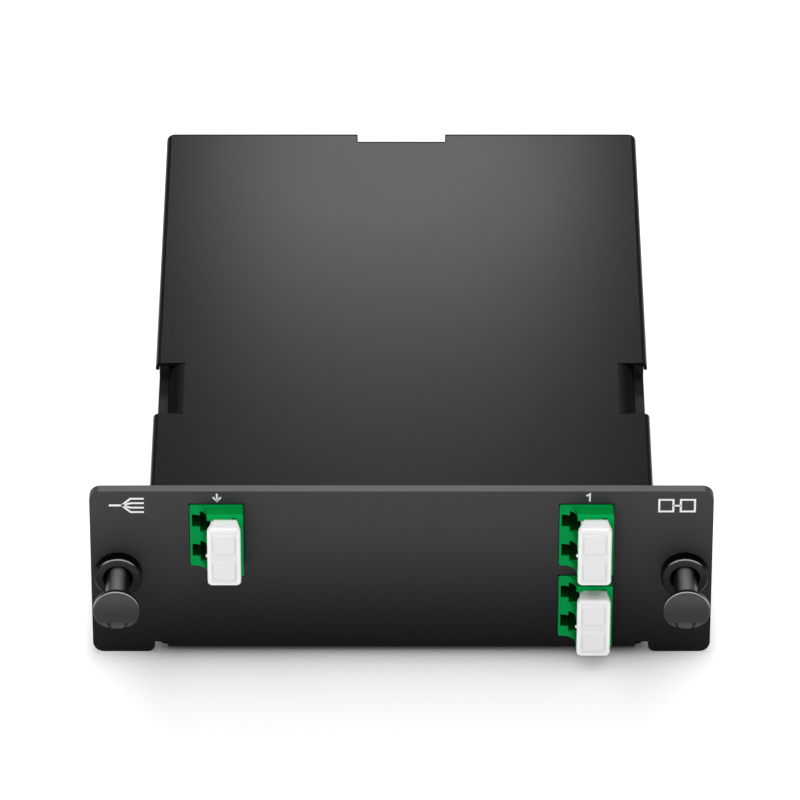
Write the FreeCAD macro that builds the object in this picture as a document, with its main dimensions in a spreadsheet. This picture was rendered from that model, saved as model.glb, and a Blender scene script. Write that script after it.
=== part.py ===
import FreeCAD
import Part
import math
import os
import re
import Sketcher

# Fibre splitter cassette for a rack panel. A folded metal chassis carries duplex fibre
# adapters in its front panel and the splitter with its fibres inside, under a folded cover.
# Two push-pull plungers hold the cassette in a rack. Dust caps close the front ports.
#
# The frame: +X to the right, +Y into the rack, +Z up. The origin lies halfway between the
# two plungers, on the back face of the front panel, where the cassette meets the rack.

# Each size has one name, one value in millimetres (or degrees), and a note.
SIZES = [
    ("ear_width", 10.5, "each ear of the front panel, beyond the side of the housing"),
    ("panel_margin", 3.15, "panel beyond the two adapter rows, at the top and at the bottom"),
    ("panel_corner", 2.0, "radius of the panel's outer corners"),
    ("ear_corner", 1.4, "radius of the inner lower corner of each ear"),
    ("sheet", 1.8, "chassis sheet thickness"),
    ("bend", 2.0, "outer radius of the chassis bends"),
    ("relief_width", 2.3, "bend relief notch beside each ear"),
    ("relief_gap", 0.1, "relief notch to the floor bend"),
    ("wall_slit", 0.4, "slit between the side walls and the panel"),
    ("case_width", 88.0, "housing, over the cover"),
    ("case_length", 118.0, "panel back face to the rear of the cover"),
    ("rear_corner", 1.5, "radius of the rear upright corners of the cover"),
    ("cover_sheet", 0.6, "cover sheet thickness"),
    ("cover_gap", 0.05, "cover to chassis wall"),
    ("cover_drop", 1.0, "cover top below the panel top"),
    ("cover_bend", 0.9, "outer radius of the cover bends"),
    ("cover_flange", 20.0, "rear flange and screw lugs of the cover, down from the top"),
    ("cover_lip", 1.5, "side flanges of the cover between the lugs, down from the top"),
    ("lug_width", 13.6, "screw lug, front to rear, at its root"),
    ("lug_taper", 2.0, "how much each side of a lug slopes inwards"),
    ("cover_front_gap", 0.25, "panel back face to the cover's front edge"),
    ("rear_notch_width", 16.4, "notch in the rear edge"),
    ("rear_notch_depth", 3.2, "notch, measured forwards on the top"),
    ("rear_notch_height", 4.5, "notch, measured down the rear"),
    ("side_notch_start", 23.8, "side notch front end, from the panel back face"),
    ("side_notch_length", 16.2, "side notch, front to rear"),
    ("wall_notch", 3.0, "side walls below the cover's top, inside the side notch"),
    ("tab_inset", 5.3, "side of the cover to where the curved tab starts"),
    ("tab_radius", 3.1, "outer radius of the curved tab"),
    ("tab_angle", 84.0, "turn of the curved tab, degrees"),
    ("tab_gap", 0.25, "slit at each end of the curved tab"),
    ("screw_spacing", 80.0, "side screws, front to rear pitch"),
    ("screw_start", 14.0, "front side screw, from the panel back face"),
    ("screw_radius", 1.0, "side screw thread radius"),
    ("screw_head_radius", 1.9, "countersunk head radius"),
    ("screw_length", 3.2, "side screw, over all"),
    ("screw_gap", 0.08, "round the side screws"),
    ("screw_drive", 0.6, "cross recess depth"),
    ("plunger_inset", 4.8, "plunger to the end of its ear"),
    ("grommet_hole_radius", 3.0, "hole in each ear"),
    ("grommet_neck_gap", 0.1, "grommet neck in its hole"),
    ("grommet_leg_radius", 3.15, "legs behind the panel"),
    ("grommet_leg_length", 8.0, "legs, behind the panel back face"),
    ("grommet_flange_radius", 4.15, "flange in front of the panel"),
    ("grommet_flange_height", 2.1, "flange thickness"),
    ("grommet_edge", 0.3, "bevel round the flange"),
    ("grommet_mouth", 0.6, "width and depth of the sloped mouth of the bore"),
    ("grommet_slot", 0.9, "slot between the legs"),
    ("grommet_taper", 2.4, "length over which the legs taper to their tips"),
    ("grommet_tip_wall", 0.45, "wall at the tips of the legs"),
    ("grommet_bore_radius", 2.1, "bore for the plunger"),
    ("plunger_gap", 0.06, "plunger in the bore, all round"),
    ("plunger_point", 0.5, "bevel round the tip of the plunger"),
    ("plunger_travel", 8.8, "pulled out to pushed home"),
    ("plunger_reach", 4.6, "tip, past the panel back face, when pulled out"),
    ("head_radius", 4.05, "plunger head"),
    ("head_height", 1.1, "plunger head thickness"),
    ("head_edge", 0.3, "bevel round the head"),
    ("head_chord", 2.35, "middle of the head to the slope cut off its lower part"),
    ("head_slope", 0.6, "depth of that slope at the bottom"),
    ("head_slot_width", 0.42, "slots each side of the thumb tab"),
    ("head_slot_start", 2.5, "middle of the head down to the slots"),
    ("head_slot_lean", 0.3, "how far each slot leans towards the other at the bottom"),
    ("head_tab_outer", 1.35, "middle of the head to the slot nearer the panel's end"),
    ("head_tab_inner", 1.75, "middle of the head to the slot nearer the panel's middle"),
    ("adapter_width", 9.4, "duplex adapter, side to side"),
    ("adapter_height", 12.9, "duplex adapter, bottom to top"),
    ("adapter_length", 27.2, "duplex adapter, nose to nose"),
    ("adapter_nose", 3.5, "nose, in front of the panel"),
    ("adapter_scoop", 3.3, "how far the latch side lies behind the nose"),
    ("adapter_scoop_start", 0.7, "flat strip beside the scoop"),
    ("adapter_scoop_radius", 2.4, "concave curve of the scoop"),
    ("adapter_edge", 0.25, "bevel on the adapter's long edges"),
    ("adapter_inset", 11.7, "each adapter column to the side of the housing"),
    ("adapter_row_pitch", 15.2, "between the two adapter rows"),
    ("adapter_row_rise", 0.4, "adapter rows above the middle of the panel"),
    ("adapter_gap", 0.12, "adapter in its cut-out, all round"),
    ("collar_proud", 0.8, "collar behind the panel, out from the sides"),
    ("collar_depth", 1.2, "collar, front to rear"),
    ("seat_gap", 0.02, "between faces that rest on each other"),
    ("port_pitch", 6.25, "between the two ports of an adapter"),
    ("port_offset", 1.2, "port centre from the adapter's middle"),
    ("port_side", 4.6, "square port"),
    ("port_notch", 0.5, "key notch over and under the port's right corners, in height"),
    ("latch_wide", 4.4, "wide part of the latch way"),
    ("latch_wide_depth", 1.8, "wide part, sideways"),
    ("latch_narrow", 2.5, "narrow part of the latch way"),
    ("latch_wall", 0.4, "wall left beside the latch way"),
    ("mid_wall", 1.2, "wall between front and rear ports"),
    ("holder_radius", 1.5, "sleeve holder tube, outside"),
    ("holder_length", 10.4, "sleeve holder tube"),
    ("sleeve_radius", 0.85, "ceramic sleeve, outside"),
    ("sleeve_length", 9.6, "ceramic sleeve"),
    ("sleeve_gap", 0.03, "sleeve in its holder, all round"),
    ("sleeve_slit", 0.3, "slit along the sleeve"),
    ("ferrule_radius", 0.62, "connector ferrule"),
    ("ferrule_gap", 0.02, "ferrule in its sleeve, all round"),
    ("clip_sheet", 0.3, "spring clip strip"),
    ("clip_gap", 0.05, "clip round the adapter"),
    ("clip_start", 0.5, "clip band, behind the collar"),
    ("clip_length", 6.0, "clip band, front to rear"),
    ("clip_flare", 1.1, "clip tabs, out from the band"),
    ("clip_tab_height", 7.0, "clip tabs, bottom to top"),
    ("cap_width", 5.9, "dust cap grip, side to side"),
    ("cap_height", 11.9, "dust cap grip, bottom to top"),
    ("cap_depth", 3.0, "dust cap grip, front to rear"),
    ("cap_bevel_left", 1.2, "rear left bevel of the grip, sideways"),
    ("cap_bevel_right", 0.8, "rear right bevel of the grip, sideways"),
    ("cap_bevel_depth", 2.1, "rear bevel of the grip, front to rear"),
    ("cap_corner", 0.8, "grip corners, seen from the front"),
    ("cap_edge", 0.35, "bevel round the grip's front edge"),
    ("cap_gap", 0.15, "grip to adapter nose"),
    ("cap_pad", 4.0, "square pads on the grip"),
    ("cap_pad_pitch", 5.6, "between the two pads"),
    ("cap_pad_height", 0.2, "pads, out from the grip"),
    ("cap_pad_corner", 0.7, "corners of the pads"),
    ("cap_bead", 0.5, "moulding bead on the grip's side, half its height"),
    ("peg_gap", 0.12, "peg in its port, and to the sleeve holder"),
    ("bore_gap", 0.15, "connector bore round the sleeve holder"),
    ("plug_gap", 0.1, "connector in its port, all round"),
    ("plug_start", 1.0, "connector nose behind the middle wall"),
    ("plug_body", 5.3, "connector body behind the adapter, square"),
    ("plug_body_length", 9.0, "connector body behind the adapter"),
    ("plug_edge", 0.5, "bevel on the connector body's long edges"),
    ("plug_latch", 2.2, "latch arm, bottom to top"),
    ("plug_latch_sheet", 0.7, "latch arm thickness"),
    ("plug_latch_root", 8.0, "latch arm root, ahead of the adapter's tail"),
    ("plug_latch_rise", 3.0, "latch arm, over its sloped part"),
    ("plug_latch_reach", 4.0, "latch arm, behind the adapter's tail"),
    ("boot_radius", 2.4, "boot at the connector"),
    ("boot_tip_radius", 1.1, "boot at the fibre"),
    ("boot_length", 12.0, "boot, front to rear"),
    ("boot_neck", 3.0, "straight part of the boot, at the connector"),
    ("fibre_radius", 0.45, "jacketed fibre"),
    ("fibre_pitch", 1.2, "between fibres that run side by side"),
    ("fibre_turn", 12.0, "turn of the fibres round a guide"),
    ("fibre_bore_gap", 0.08, "splitter plugs round the fibre"),
    ("fibre_straight", 3.0, "fibre straight out of the boot"),
    ("fibre_settle", 1.6, "straight fibre ahead of its comb"),
    ("fibre_entry", 4.0, "fibre inside the end of the splitter"),
    ("lane_inset", 4.55, "middle lane of the fibres to the side wall"),
    ("splitter_inset", 10.0, "middle of the splitter to the rear of the case"),
    ("splitter_length", 34.0, "splitter steel tube"),
    ("splitter_depth", 7.0, "splitter steel tube, front to rear"),
    ("splitter_height", 4.0, "splitter steel tube, bottom to top"),
    ("splitter_wall", 0.4, "splitter steel tube wall"),
    ("splitter_cap", 3.0, "end plugs of the splitter, out of the tube"),
    ("splitter_pad", 1.0, "foam pad under the splitter"),
    ("chip_length", 20.0, "waveguide chip and its fibre blocks"),
    ("chip_height", 2.4, "waveguide chip, square section"),
    ("guide_gap", 0.35, "guide to the innermost fibre"),
    ("guide_wall", 1.4, "fibre guide wall"),
    ("guide_foot", 4.2, "fibre guide base, inwards from its outer face"),
    ("guide_height", 5.0, "fibre guide"),
    ("guide_base", 0.8, "fibre guide base"),
    ("comb_depth", 3.0, "fibre comb, front to rear"),
    ("comb_lead", 1.5, "fibre comb, ahead of the turn"),
    ("comb_slot", 1.0, "slots in the fibre comb"),
]

doc = FreeCAD.newDocument("SplitterCassette")
sheet = doc.addObject("Spreadsheet::Sheet", "Sizes")
for row, (alias, value, note) in enumerate(SIZES, start=1):
    sheet.set(f"A{row}", alias)
    sheet.set(f"B{row}", str(value))
    sheet.setAlias(f"B{row}", alias)
    sheet.set(f"C{row}", note)
doc.recompute()

ALIASES = re.compile(r"\b(" + "|".join(alias for alias, _, _ in SIZES) + r")\b")
PARTS = []


def cell(text):
    """An expression written with plain size names, with each name pointing at its cell."""
    return ALIASES.sub(r"Sizes.\1", text)


def number(text):
    """The value of such an expression, in millimetres."""
    return float(sheet.evalExpression(cell(text)))


# Places that several pieces share, each worked out from the sizes.
FRONT = "(-sheet)"
PANEL_SIDE = "(case_width / 2 + ear_width)"
PANEL_TOP = "(adapter_row_pitch / 2 + adapter_height / 2 + panel_margin)"
BOTTOM = f"(-{PANEL_TOP})"
FLOOR = f"(sheet - {PANEL_TOP})"
TOP = f"({PANEL_TOP} - cover_drop)"
CEILING = f"({PANEL_TOP} - cover_drop - cover_sheet)"
TAB_ROOT = "(case_width / 2 - tab_inset)"
PLUNGER_X = "(case_width / 2 + ear_width - plunger_inset)"
WALL_OUT = "(case_width / 2 - cover_sheet - cover_gap)"
WALL_IN = "(case_width / 2 - cover_sheet - cover_gap - sheet)"
REAR_OUT = "(case_length - cover_sheet - cover_gap)"
RELIEF = "(case_width / 2 - cover_sheet - cover_gap - bend - relief_gap)"
EAR = "(case_width / 2 - cover_sheet - cover_gap - bend - relief_gap + relief_width)"
NOSE = "(-sheet - adapter_nose)"
TAIL = "(-sheet - adapter_nose + adapter_length)"
MIDDLE = "(-sheet - adapter_nose + adapter_length / 2)"
UPPER = "(adapter_row_rise + adapter_row_pitch / 2)"
LOWER = "(adapter_row_rise - adapter_row_pitch / 2)"
COLUMN = "(case_width / 2 - adapter_inset)"
FLANGE_FACE = "(-sheet - grommet_flange_height)"
STEM = "(grommet_bore_radius - plunger_gap)"
GRIP_REAR = "(-sheet - adapter_nose - cap_gap)"
GRIP_FRONT = "(-sheet - adapter_nose - cap_gap - cap_depth)"
FERRULE_ROOT = "(-sheet - adapter_nose + adapter_length / 2 + holder_length / 2 + plug_start)"
BOOT_START = "(-sheet - adapter_nose + adapter_length + plug_body_length)"
BOOT_END = "(-sheet - adapter_nose + adapter_length + plug_body_length + boot_length)"
SPLITTER_Z = f"({FLOOR} + splitter_pad + splitter_height / 2)"
SPLITTER_Y = "(case_length - splitter_inset)"
SPLITTER_END = "(splitter_length / 2 + splitter_cap)"
HALF_DEPTH, HALF_HEIGHT = "(splitter_depth / 2)", "(splitter_height / 2)"
CENTRE_X = f"({WALL_IN} - lane_inset - fibre_turn)"
CENTRE_Y = f"({SPLITTER_Y} - fibre_turn)"
FOOT_Y = f"({CENTRE_Y} - comb_lead - comb_depth - fibre_settle)"
PORTS = ("(-port_pitch / 2)", "(port_pitch / 2)")


def new_body(label, x="0", y="0", z="0"):
    """A body for one sub-part, placed by expressions."""
    body = doc.addObject("PartDesign::Body", label)
    body.Label = label
    for axis, place in zip("xyz", (x, y, z)):
        body.setExpression(f"Placement.Base.{axis}", cell(place))
    PARTS.append(body)
    return body


def sketch_on(body, role, offset="0", across="0", up="0"):
    """A sketch on one of the body's own planes, moved along the plane's normal and in it.

    XY_Plane looks along +Z, XZ_Plane along -Y and YZ_Plane along +X.
    """
    plane = next(f for f in body.Origin.OriginFeatures if f.Role == role)
    sketch = body.newObject("Sketcher::SketchObject", "Sketch")
    sketch.AttachmentSupport = [(plane, "")]
    sketch.MapMode = "FlatFace"
    for axis, place in zip("xyz", (across, up, offset)):
        sketch.setExpression(f"AttachmentOffset.Base.{axis}", cell(place))
    return sketch


def hold(sketch, kind, element, point, text):
    """Ties one coordinate of a point in a sketch to an expression."""
    index = sketch.addConstraint(
        Sketcher.Constraint(kind, -1, 1, element, point, number(text))
    )
    sketch.setExpression(f"Constraints[{index}]", cell(text))


def outline(sketch, corners):
    """A closed outline of straight edges through corners given as pairs of expressions."""
    points = [FreeCAD.Vector(number(x), number(y), 0) for x, y in corners]
    first, count = sketch.GeometryCount, len(corners)
    for i in range(count):
        sketch.addGeometry(Part.LineSegment(points[i], points[(i + 1) % count]), False)
    for i in range(count):
        following = first + (i + 1) % count
        sketch.addConstraint(Sketcher.Constraint("Coincident", first + i, 2, following, 1))
    for i, (x, y) in enumerate(corners):
        hold(sketch, "DistanceX", first + i, 1, x)
        hold(sketch, "DistanceY", first + i, 1, y)


def box_outline(sketch, low_x, high_x, low_y, high_y):
    """A rectangle between four expressions."""
    outline(sketch, [(low_x, low_y), (high_x, low_y), (high_x, high_y), (low_x, high_y)])


def circle(sketch, radius, x="0", y="0"):
    """A circle whose centre and radius are expressions."""
    centre = FreeCAD.Vector(number(x), number(y), 0)
    normal = FreeCAD.Vector(0, 0, 1)
    element = sketch.addGeometry(Part.Circle(centre, normal, number(radius)), False)
    hold(sketch, "DistanceX", element, 3, x)
    hold(sketch, "DistanceY", element, 3, y)
    index = sketch.addConstraint(Sketcher.Constraint("Radius", element, number(radius)))
    sketch.setExpression(f"Constraints[{index}]", cell(radius))


def settle(body, feature):
    """Makes a feature the body's tip, works it out and stops if it failed."""
    body.Tip = feature
    doc.recompute()
    failed = "Invalid" in feature.State or "Error" in feature.State
    if failed or feature.Shape.isNull() or not feature.Shape.isValid():
        raise RuntimeError(f"{body.Label}: {feature.Name} failed")
    return feature


def grow(kind, name, body, sketch, backwards=False, **numbers):
    """A feature on a sketch, with its numbers tied to expressions."""
    feature = body.newObject(f"PartDesign::{kind}", name)
    feature.Profile = sketch
    feature.Reversed = backwards
    for prop, text in numbers.items():
        feature.setExpression(prop, cell(text))
    return settle(body, feature)


def pad(body, name, sketch, length):
    """Material from the sketch along its plane's normal."""
    return grow("Pad", name, body, sketch, Length=length)


def pocket(body, name, sketch, length, backwards=False):
    """A cut from the sketch against its plane's normal, or along it where backwards is true.

    It has to remove material.
    """
    before = body.Shape.Volume
    feature = grow("Pocket", name, body, sketch, backwards, Length=length)
    if body.Shape.Volume > before - 1e-6:
        raise RuntimeError(f"{body.Label}: {name} removed nothing")
    return feature


def turn(body, name, sketch, axis, kind="Revolution", angle="360"):
    """A turned feature about one of the sketch's axes."""
    feature = body.newObject(f"PartDesign::{kind}", name)
    feature.Profile = sketch
    feature.ReferenceAxis = (sketch, [axis])
    feature.setExpression("Angle", cell(angle))
    return settle(body, feature)


def edges_where(feature, test):
    """Names of the feature's edges whose centre and direction pass a test."""
    found = []
    for i, edge in enumerate(feature.Shape.Edges, start=1):
        ends = [v.Point for v in edge.Vertexes]
        line = ends[-1] - ends[0]
        if line.Length > 1e-6 and isinstance(edge.Curve, Part.Line):
            if test(edge.CenterOfMass, line.normalize(), edge.Length):
                found.append(f"Edge{i}")
    return found


def edges_named_at(feature, test):
    """Names of every edge, straight or curved, whose centre passes a test."""
    return [
        f"Edge{i}"
        for i, edge in enumerate(feature.Shape.Edges, start=1)
        if test(edge.CenterOfMass)
    ]


def dress(kind, measure, body, name, names, size):
    """A fillet or a bevel on named edges of the body's tip."""
    base = body.Tip
    if not names:
        raise RuntimeError(f"{body.Label}: {name} found no edge")
    feature = body.newObject(f"PartDesign::{kind}", name)
    feature.Base = (base, names)
    feature.setExpression(measure, cell(size))
    return settle(body, feature)


def round_edges(body, name, names, radius):
    """A fillet on named edges."""
    return dress("Fillet", "Radius", body, name, names, radius)


def bevel_edges(body, name, names, width):
    """An even bevel on named edges."""
    return dress("Chamfer", "Size", body, name, names, width)


def near(value, text, slack=0.02):
    """True where a coordinate lies at an expression's value."""
    return abs(value - number(text)) < slack


def mirror_x(body, name, originals):
    """The same features on the other side of the YZ plane."""
    plane = next(f for f in body.Origin.OriginFeatures if f.Role == "YZ_Plane")
    mirrored = body.newObject("PartDesign::Mirrored", name)
    mirrored.Originals = originals
    mirrored.MirrorPlane = (plane, [""])
    return settle(body, mirrored)


def panel_outline():
    """The front panel from the front, with an ear each side and the bend reliefs between."""
    right = [
        (RELIEF, BOTTOM),
        (RELIEF, f"{BOTTOM} + bend + relief_gap"),
        (EAR, f"{BOTTOM} + bend + relief_gap"),
        (EAR, BOTTOM),
        (PANEL_SIDE, BOTTOM),
        (PANEL_SIDE, PANEL_TOP),
    ]
    left = [(f"-({x})", y) for x, y in reversed(right)]
    return right + left


def countersinks(body):
    """Countersinks for the side screws, cut in whatever wall stands there."""
    reach = "(screw_head_radius + screw_gap)"
    for y in ("screw_start", "(screw_start + screw_spacing)"):
        cone = sketch_on(body, "XY_Plane", up=y)
        for side in ("", "-"):
            face = f"{side}(case_width / 2)"
            point = f"{side}(case_width / 2 - {reach})"
            outline(cone, [(face, "0"), (face, reach), (point, "0")])
        turn(body, "Countersinks", cone, "H_Axis", kind="Groove")


def make_chassis():
    """One folded sheet: front panel with ears, floor, side walls and rear wall."""
    body = new_body("chassis")
    block = sketch_on(body, "XY_Plane", BOTTOM)
    box_outline(block, f"-{WALL_OUT}", WALL_OUT, "wall_slit", REAR_OUT)
    pad(body, "Trough", block, f"{CEILING} - cover_gap - {BOTTOM}")
    rear_uprights = edges_where(
        body.Tip, lambda c, d, n: abs(d.z) > 0.9 and near(c.y, REAR_OUT)
    )
    round_edges(body, "RearCorners", rear_uprights, "rear_corner - cover_sheet")
    low = edges_where(
        body.Tip,
        lambda c, d, n: near(c.z, BOTTOM) and not near(c.y, "wall_slit"),
    )
    round_edges(body, "FloorBends", low, "bend")
    hollow = sketch_on(body, "XZ_Plane", "0")
    box_outline(hollow, f"-{WALL_IN}", WALL_IN, FLOOR, TOP)
    pocket(body, "Hollow", hollow, f"{REAR_OUT} - sheet")
    inner = edges_where(
        body.Tip,
        lambda c, d, n: near(c.z, FLOOR) and not near(c.y, "wall_slit"),
    )
    round_edges(body, "InnerBends", inner, "bend - sheet")
    tongue = sketch_on(body, "XY_Plane", BOTTOM)
    box_outline(tongue, f"-{RELIEF}", RELIEF, "0", "wall_slit + bend")
    pad(body, "Tongue", tongue, "sheet")

    panel = sketch_on(body, "XZ_Plane", "0")
    outline(panel, panel_outline())
    pad(body, "FrontPanel", panel, "sheet")
    along_y = edges_where(
        body.Tip,
        lambda c, d, n: abs(d.y) > 0.9
        and near(abs(c.x), PANEL_SIDE)
        and near(c.y, f"{FRONT} / 2"),
    )
    round_edges(body, "PanelCorners", along_y, "panel_corner")
    ear_edges = edges_where(
        body.Tip,
        lambda c, d, n: abs(d.y) > 0.9 and near(abs(c.x), EAR) and near(c.z, BOTTOM),
    )
    round_edges(body, "EarCorners", ear_edges, "ear_corner")

    front_bend = edges_where(
        body.Tip,
        lambda c, d, n: near(c.z, BOTTOM) and near(c.y, FRONT) and near(c.x, "0"),
    )
    round_edges(body, "FrontBend", front_bend, "bend")

    holes = sketch_on(body, "XZ_Plane", "sheet")
    for sign in ("", "-"):
        circle(holes, "grommet_hole_radius", f"{sign}{PLUNGER_X}", "0")
    for x, z in (("-" + COLUMN, UPPER), (COLUMN, UPPER), (COLUMN, LOWER)):
        box_outline(
            holes,
            f"{x} - adapter_width / 2 - adapter_gap",
            f"{x} + adapter_width / 2 + adapter_gap",
            f"{z} - adapter_height / 2 - adapter_gap",
            f"{z} + adapter_height / 2 + adapter_gap",
        )
    pocket(body, "PanelOpenings", holes, "sheet")

    rear = sketch_on(body, "XZ_Plane", f"-({REAR_OUT} - sheet * 2)")
    box_outline(
        rear,
        "-rear_notch_width / 2",
        "rear_notch_width / 2",
        f"{TOP} - rear_notch_height",
        TOP,
    )
    pocket(body, "RearNotch", rear, "sheet * 3")

    notch = sketch_on(body, "YZ_Plane", WALL_OUT)
    box_outline(
        notch,
        "side_notch_start",
        "side_notch_start + side_notch_length",
        f"{TOP} - wall_notch",
        TOP,
    )
    pocket(body, "WallNotches", notch, f"{WALL_OUT} * 2")

    taps = sketch_on(body, "YZ_Plane", WALL_OUT)
    for y in ("screw_start", "(screw_start + screw_spacing)"):
        circle(taps, "screw_radius + screw_gap", y, "0")
    pocket(body, "ScrewHoles", taps, f"{WALL_OUT} * 2")
    countersinks(body)
    return body


def make_cover():
    """A folded lid: top, side flanges and rear flange, with notches and curved side tabs."""
    body = new_body("cover")
    block = sketch_on(body, "XY_Plane", f"{TOP} - cover_flange")
    box_outline(block, "-case_width / 2", "case_width / 2", "cover_front_gap", "case_length")
    pad(body, "Block", block, "cover_flange")
    uprights = edges_where(
        body.Tip, lambda c, d, n: abs(d.z) > 0.9 and near(c.y, "case_length")
    )
    round_edges(body, "RearCorners", uprights, "rear_corner")
    rim = edges_where(
        body.Tip, lambda c, d, n: near(c.z, TOP) and not near(c.y, "cover_front_gap")
    )
    round_edges(body, "TopBends", rim, "cover_bend")
    hollow = sketch_on(body, "XZ_Plane", "-cover_front_gap")
    box_outline(
        hollow,
        "-(case_width / 2 - cover_sheet)",
        "case_width / 2 - cover_sheet",
        f"{TOP} - cover_flange - sheet",
        CEILING,
    )
    pocket(body, "Hollow", hollow, "case_length - cover_sheet - cover_front_gap")

    rear = sketch_on(body, "XY_Plane", TOP)
    box_outline(
        rear,
        "-rear_notch_width / 2",
        "rear_notch_width / 2",
        "case_length - rear_notch_depth",
        "case_length + sheet",
    )
    pocket(body, "RearNotch", rear, "rear_notch_height")

    sides = sketch_on(body, "XY_Plane", TOP)
    for low, high in ((TAB_ROOT, "case_width"), ("-case_width", f"-{TAB_ROOT}")):
        box_outline(
            sides, low, high, "side_notch_start", "side_notch_start + side_notch_length"
        )
    pocket(body, "SideNotches", sides, "cover_lip + sheet")

    strip = sketch_on(body, "YZ_Plane", TAB_ROOT, up=f"{TOP} - tab_radius")
    box_outline(
        strip,
        "side_notch_start + tab_gap",
        "side_notch_start + side_notch_length - tab_gap",
        "tab_radius - cover_sheet",
        "tab_radius",
    )
    tab = turn(body, "CurvedTab", strip, "H_Axis", angle="tab_angle")
    if body.Shape.BoundBox.ZMax > number(TOP) + 0.01:
        tab.Reversed = True
    settle(body, tab)
    mirror_x(body, "OtherTab", [tab])

    gaps = sketch_on(body, "YZ_Plane", "case_width / 2")
    low = f"({TOP} - cover_flange - sheet)"
    front, rear = "screw_start", "(screw_start + screw_spacing)"
    for start, end in (
        (f"{front} + lug_width / 2", f"{rear} - lug_width / 2"),
        (f"{rear} + lug_width / 2", "case_length - rear_corner - lug_taper * 2"),
    ):
        outline(
            gaps,
            [
                (start, f"{TOP} - cover_lip"),
                (f"{start} - lug_taper", low),
                (f"{end} + lug_taper", low),
                (end, f"{TOP} - cover_lip"),
            ],
        )
    pocket(body, "FlangeGaps", gaps, "case_width")

    holes = sketch_on(body, "YZ_Plane", "case_width / 2")
    for y in ("screw_start", "(screw_start + screw_spacing)"):
        circle(holes, "screw_radius + screw_gap", y, "0")
    pocket(body, "ScrewHoles", holes, "case_width")
    countersinks(body)
    return body


def plus_outline(sketch, reach, half):
    """A plus sign round the sketch's origin."""
    corners, arm = [], [(reach, half), (half, half), (half, reach)]
    for _ in range(4):
        corners += arm
        arm = [(f"-({y})", x) for x, y in arm]
    outline(sketch, corners)


def make_screws():
    """The countersunk screws that hold the cover to the side walls, their heads flush."""
    body = new_body("cover_screws")
    body.AllowCompound = True
    made = []
    for y in ("screw_start", "screw_start + screw_spacing"):
        profile = sketch_on(body, "XY_Plane", "0", "case_width / 2", y)
        outline(
            profile,
            [
                ("0", "0"),
                ("0", "screw_head_radius"),
                ("-(screw_head_radius - screw_radius)", "screw_radius"),
                ("-screw_length", "screw_radius"),
                ("-screw_length", "0"),
            ],
        )
        made.append(turn(body, "Turned", profile, "H_Axis"))
        cross = sketch_on(body, "YZ_Plane", "case_width / 2", y)
        plus_outline(cross, "screw_radius", "screw_drive / 2")
        made.append(pocket(body, "Drive", cross, "screw_drive"))
    mirror_x(body, "OtherSide", made)
    return body


def make_grommet(label, side):
    """The outer half of a push rivet: a flange, a neck and four sprung legs."""
    body = new_body(label, f"{side}{PLUNGER_X}", "0", "0")
    profile = sketch_on(body, "XY_Plane")
    neck = "(grommet_hole_radius - grommet_neck_gap)"
    outline(
        profile,
        [
            ("grommet_bore_radius", f"{FLANGE_FACE} + grommet_mouth"),
            ("grommet_bore_radius + grommet_mouth", FLANGE_FACE),
            ("grommet_flange_radius - grommet_edge", FLANGE_FACE),
            ("grommet_flange_radius", f"{FLANGE_FACE} + grommet_edge"),
            ("grommet_flange_radius", f"{FRONT} - seat_gap"),
            (neck, f"{FRONT} - seat_gap"),
            (neck, "seat_gap"),
            ("grommet_leg_radius", "seat_gap"),
            ("grommet_leg_radius", "grommet_leg_length - grommet_taper"),
            ("grommet_bore_radius + grommet_tip_wall", "grommet_leg_length"),
            ("grommet_bore_radius", "grommet_leg_length"),
        ],
    )
    turn(body, "Turned", profile, "V_Axis")
    slots = sketch_on(body, "XZ_Plane", "-grommet_slot")
    plus_outline(slots, "grommet_leg_radius * 1.3", "grommet_slot / 2")
    pocket(body, "LegSlots", slots, "grommet_leg_length")
    return body


def make_plunger(label, side):
    """The inner half of a push rivet, drawn pulled out: a head with a thumb tab, and a stem."""
    body = new_body(label, f"{side}{PLUNGER_X}", "0", "0")
    back = f"({FLANGE_FACE} - plunger_travel)"
    front = f"({FLANGE_FACE} - plunger_travel - head_height)"
    profile = sketch_on(body, "XY_Plane")
    outline(
        profile,
        [
            ("0", front),
            ("head_radius - head_edge", front),
            ("head_radius", f"{front} + head_edge"),
            ("head_radius", back),
            (STEM, back),
            (STEM, "plunger_reach - plunger_point"),
            (f"{STEM} - plunger_point", "plunger_reach"),
            ("0", "plunger_reach"),
        ],
    )
    turn(body, "Turned", profile, "V_Axis")
    slope = sketch_on(body, "YZ_Plane", "head_radius * 1.1")
    outline(
        slope,
        [
            (front, "-head_chord"),
            (f"{front} + head_slope", "-head_radius"),
            (f"{front} + head_slope", "-head_radius * 1.2"),
            (f"{front} - head_slope", "-head_radius * 1.2"),
            (f"{front} - head_slope", "-head_chord"),
        ],
    )
    pocket(body, "Slope", slope, "head_radius * 2.2")
    slots = sketch_on(body, "XZ_Plane", f"-{front}")
    half = "head_slot_width / 2"
    other = "" if side == "-" else "-"
    for turned, top in ((side, "head_tab_outer"), (other, "head_tab_inner")):
        outline(
            slots,
            [
                (f"{turned}({top} - {half})", "-head_slot_start"),
                (f"{turned}({top} + {half})", "-head_slot_start"),
                (f"{turned}({top} + {half} - head_slot_lean)", "-head_radius * 1.1"),
                (f"{turned}({top} - {half} - head_slot_lean)", "-head_radius * 1.1"),
            ],
        )
    pocket(body, "ThumbSlots", slots, "head_height * 0.8")
    return body


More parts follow.
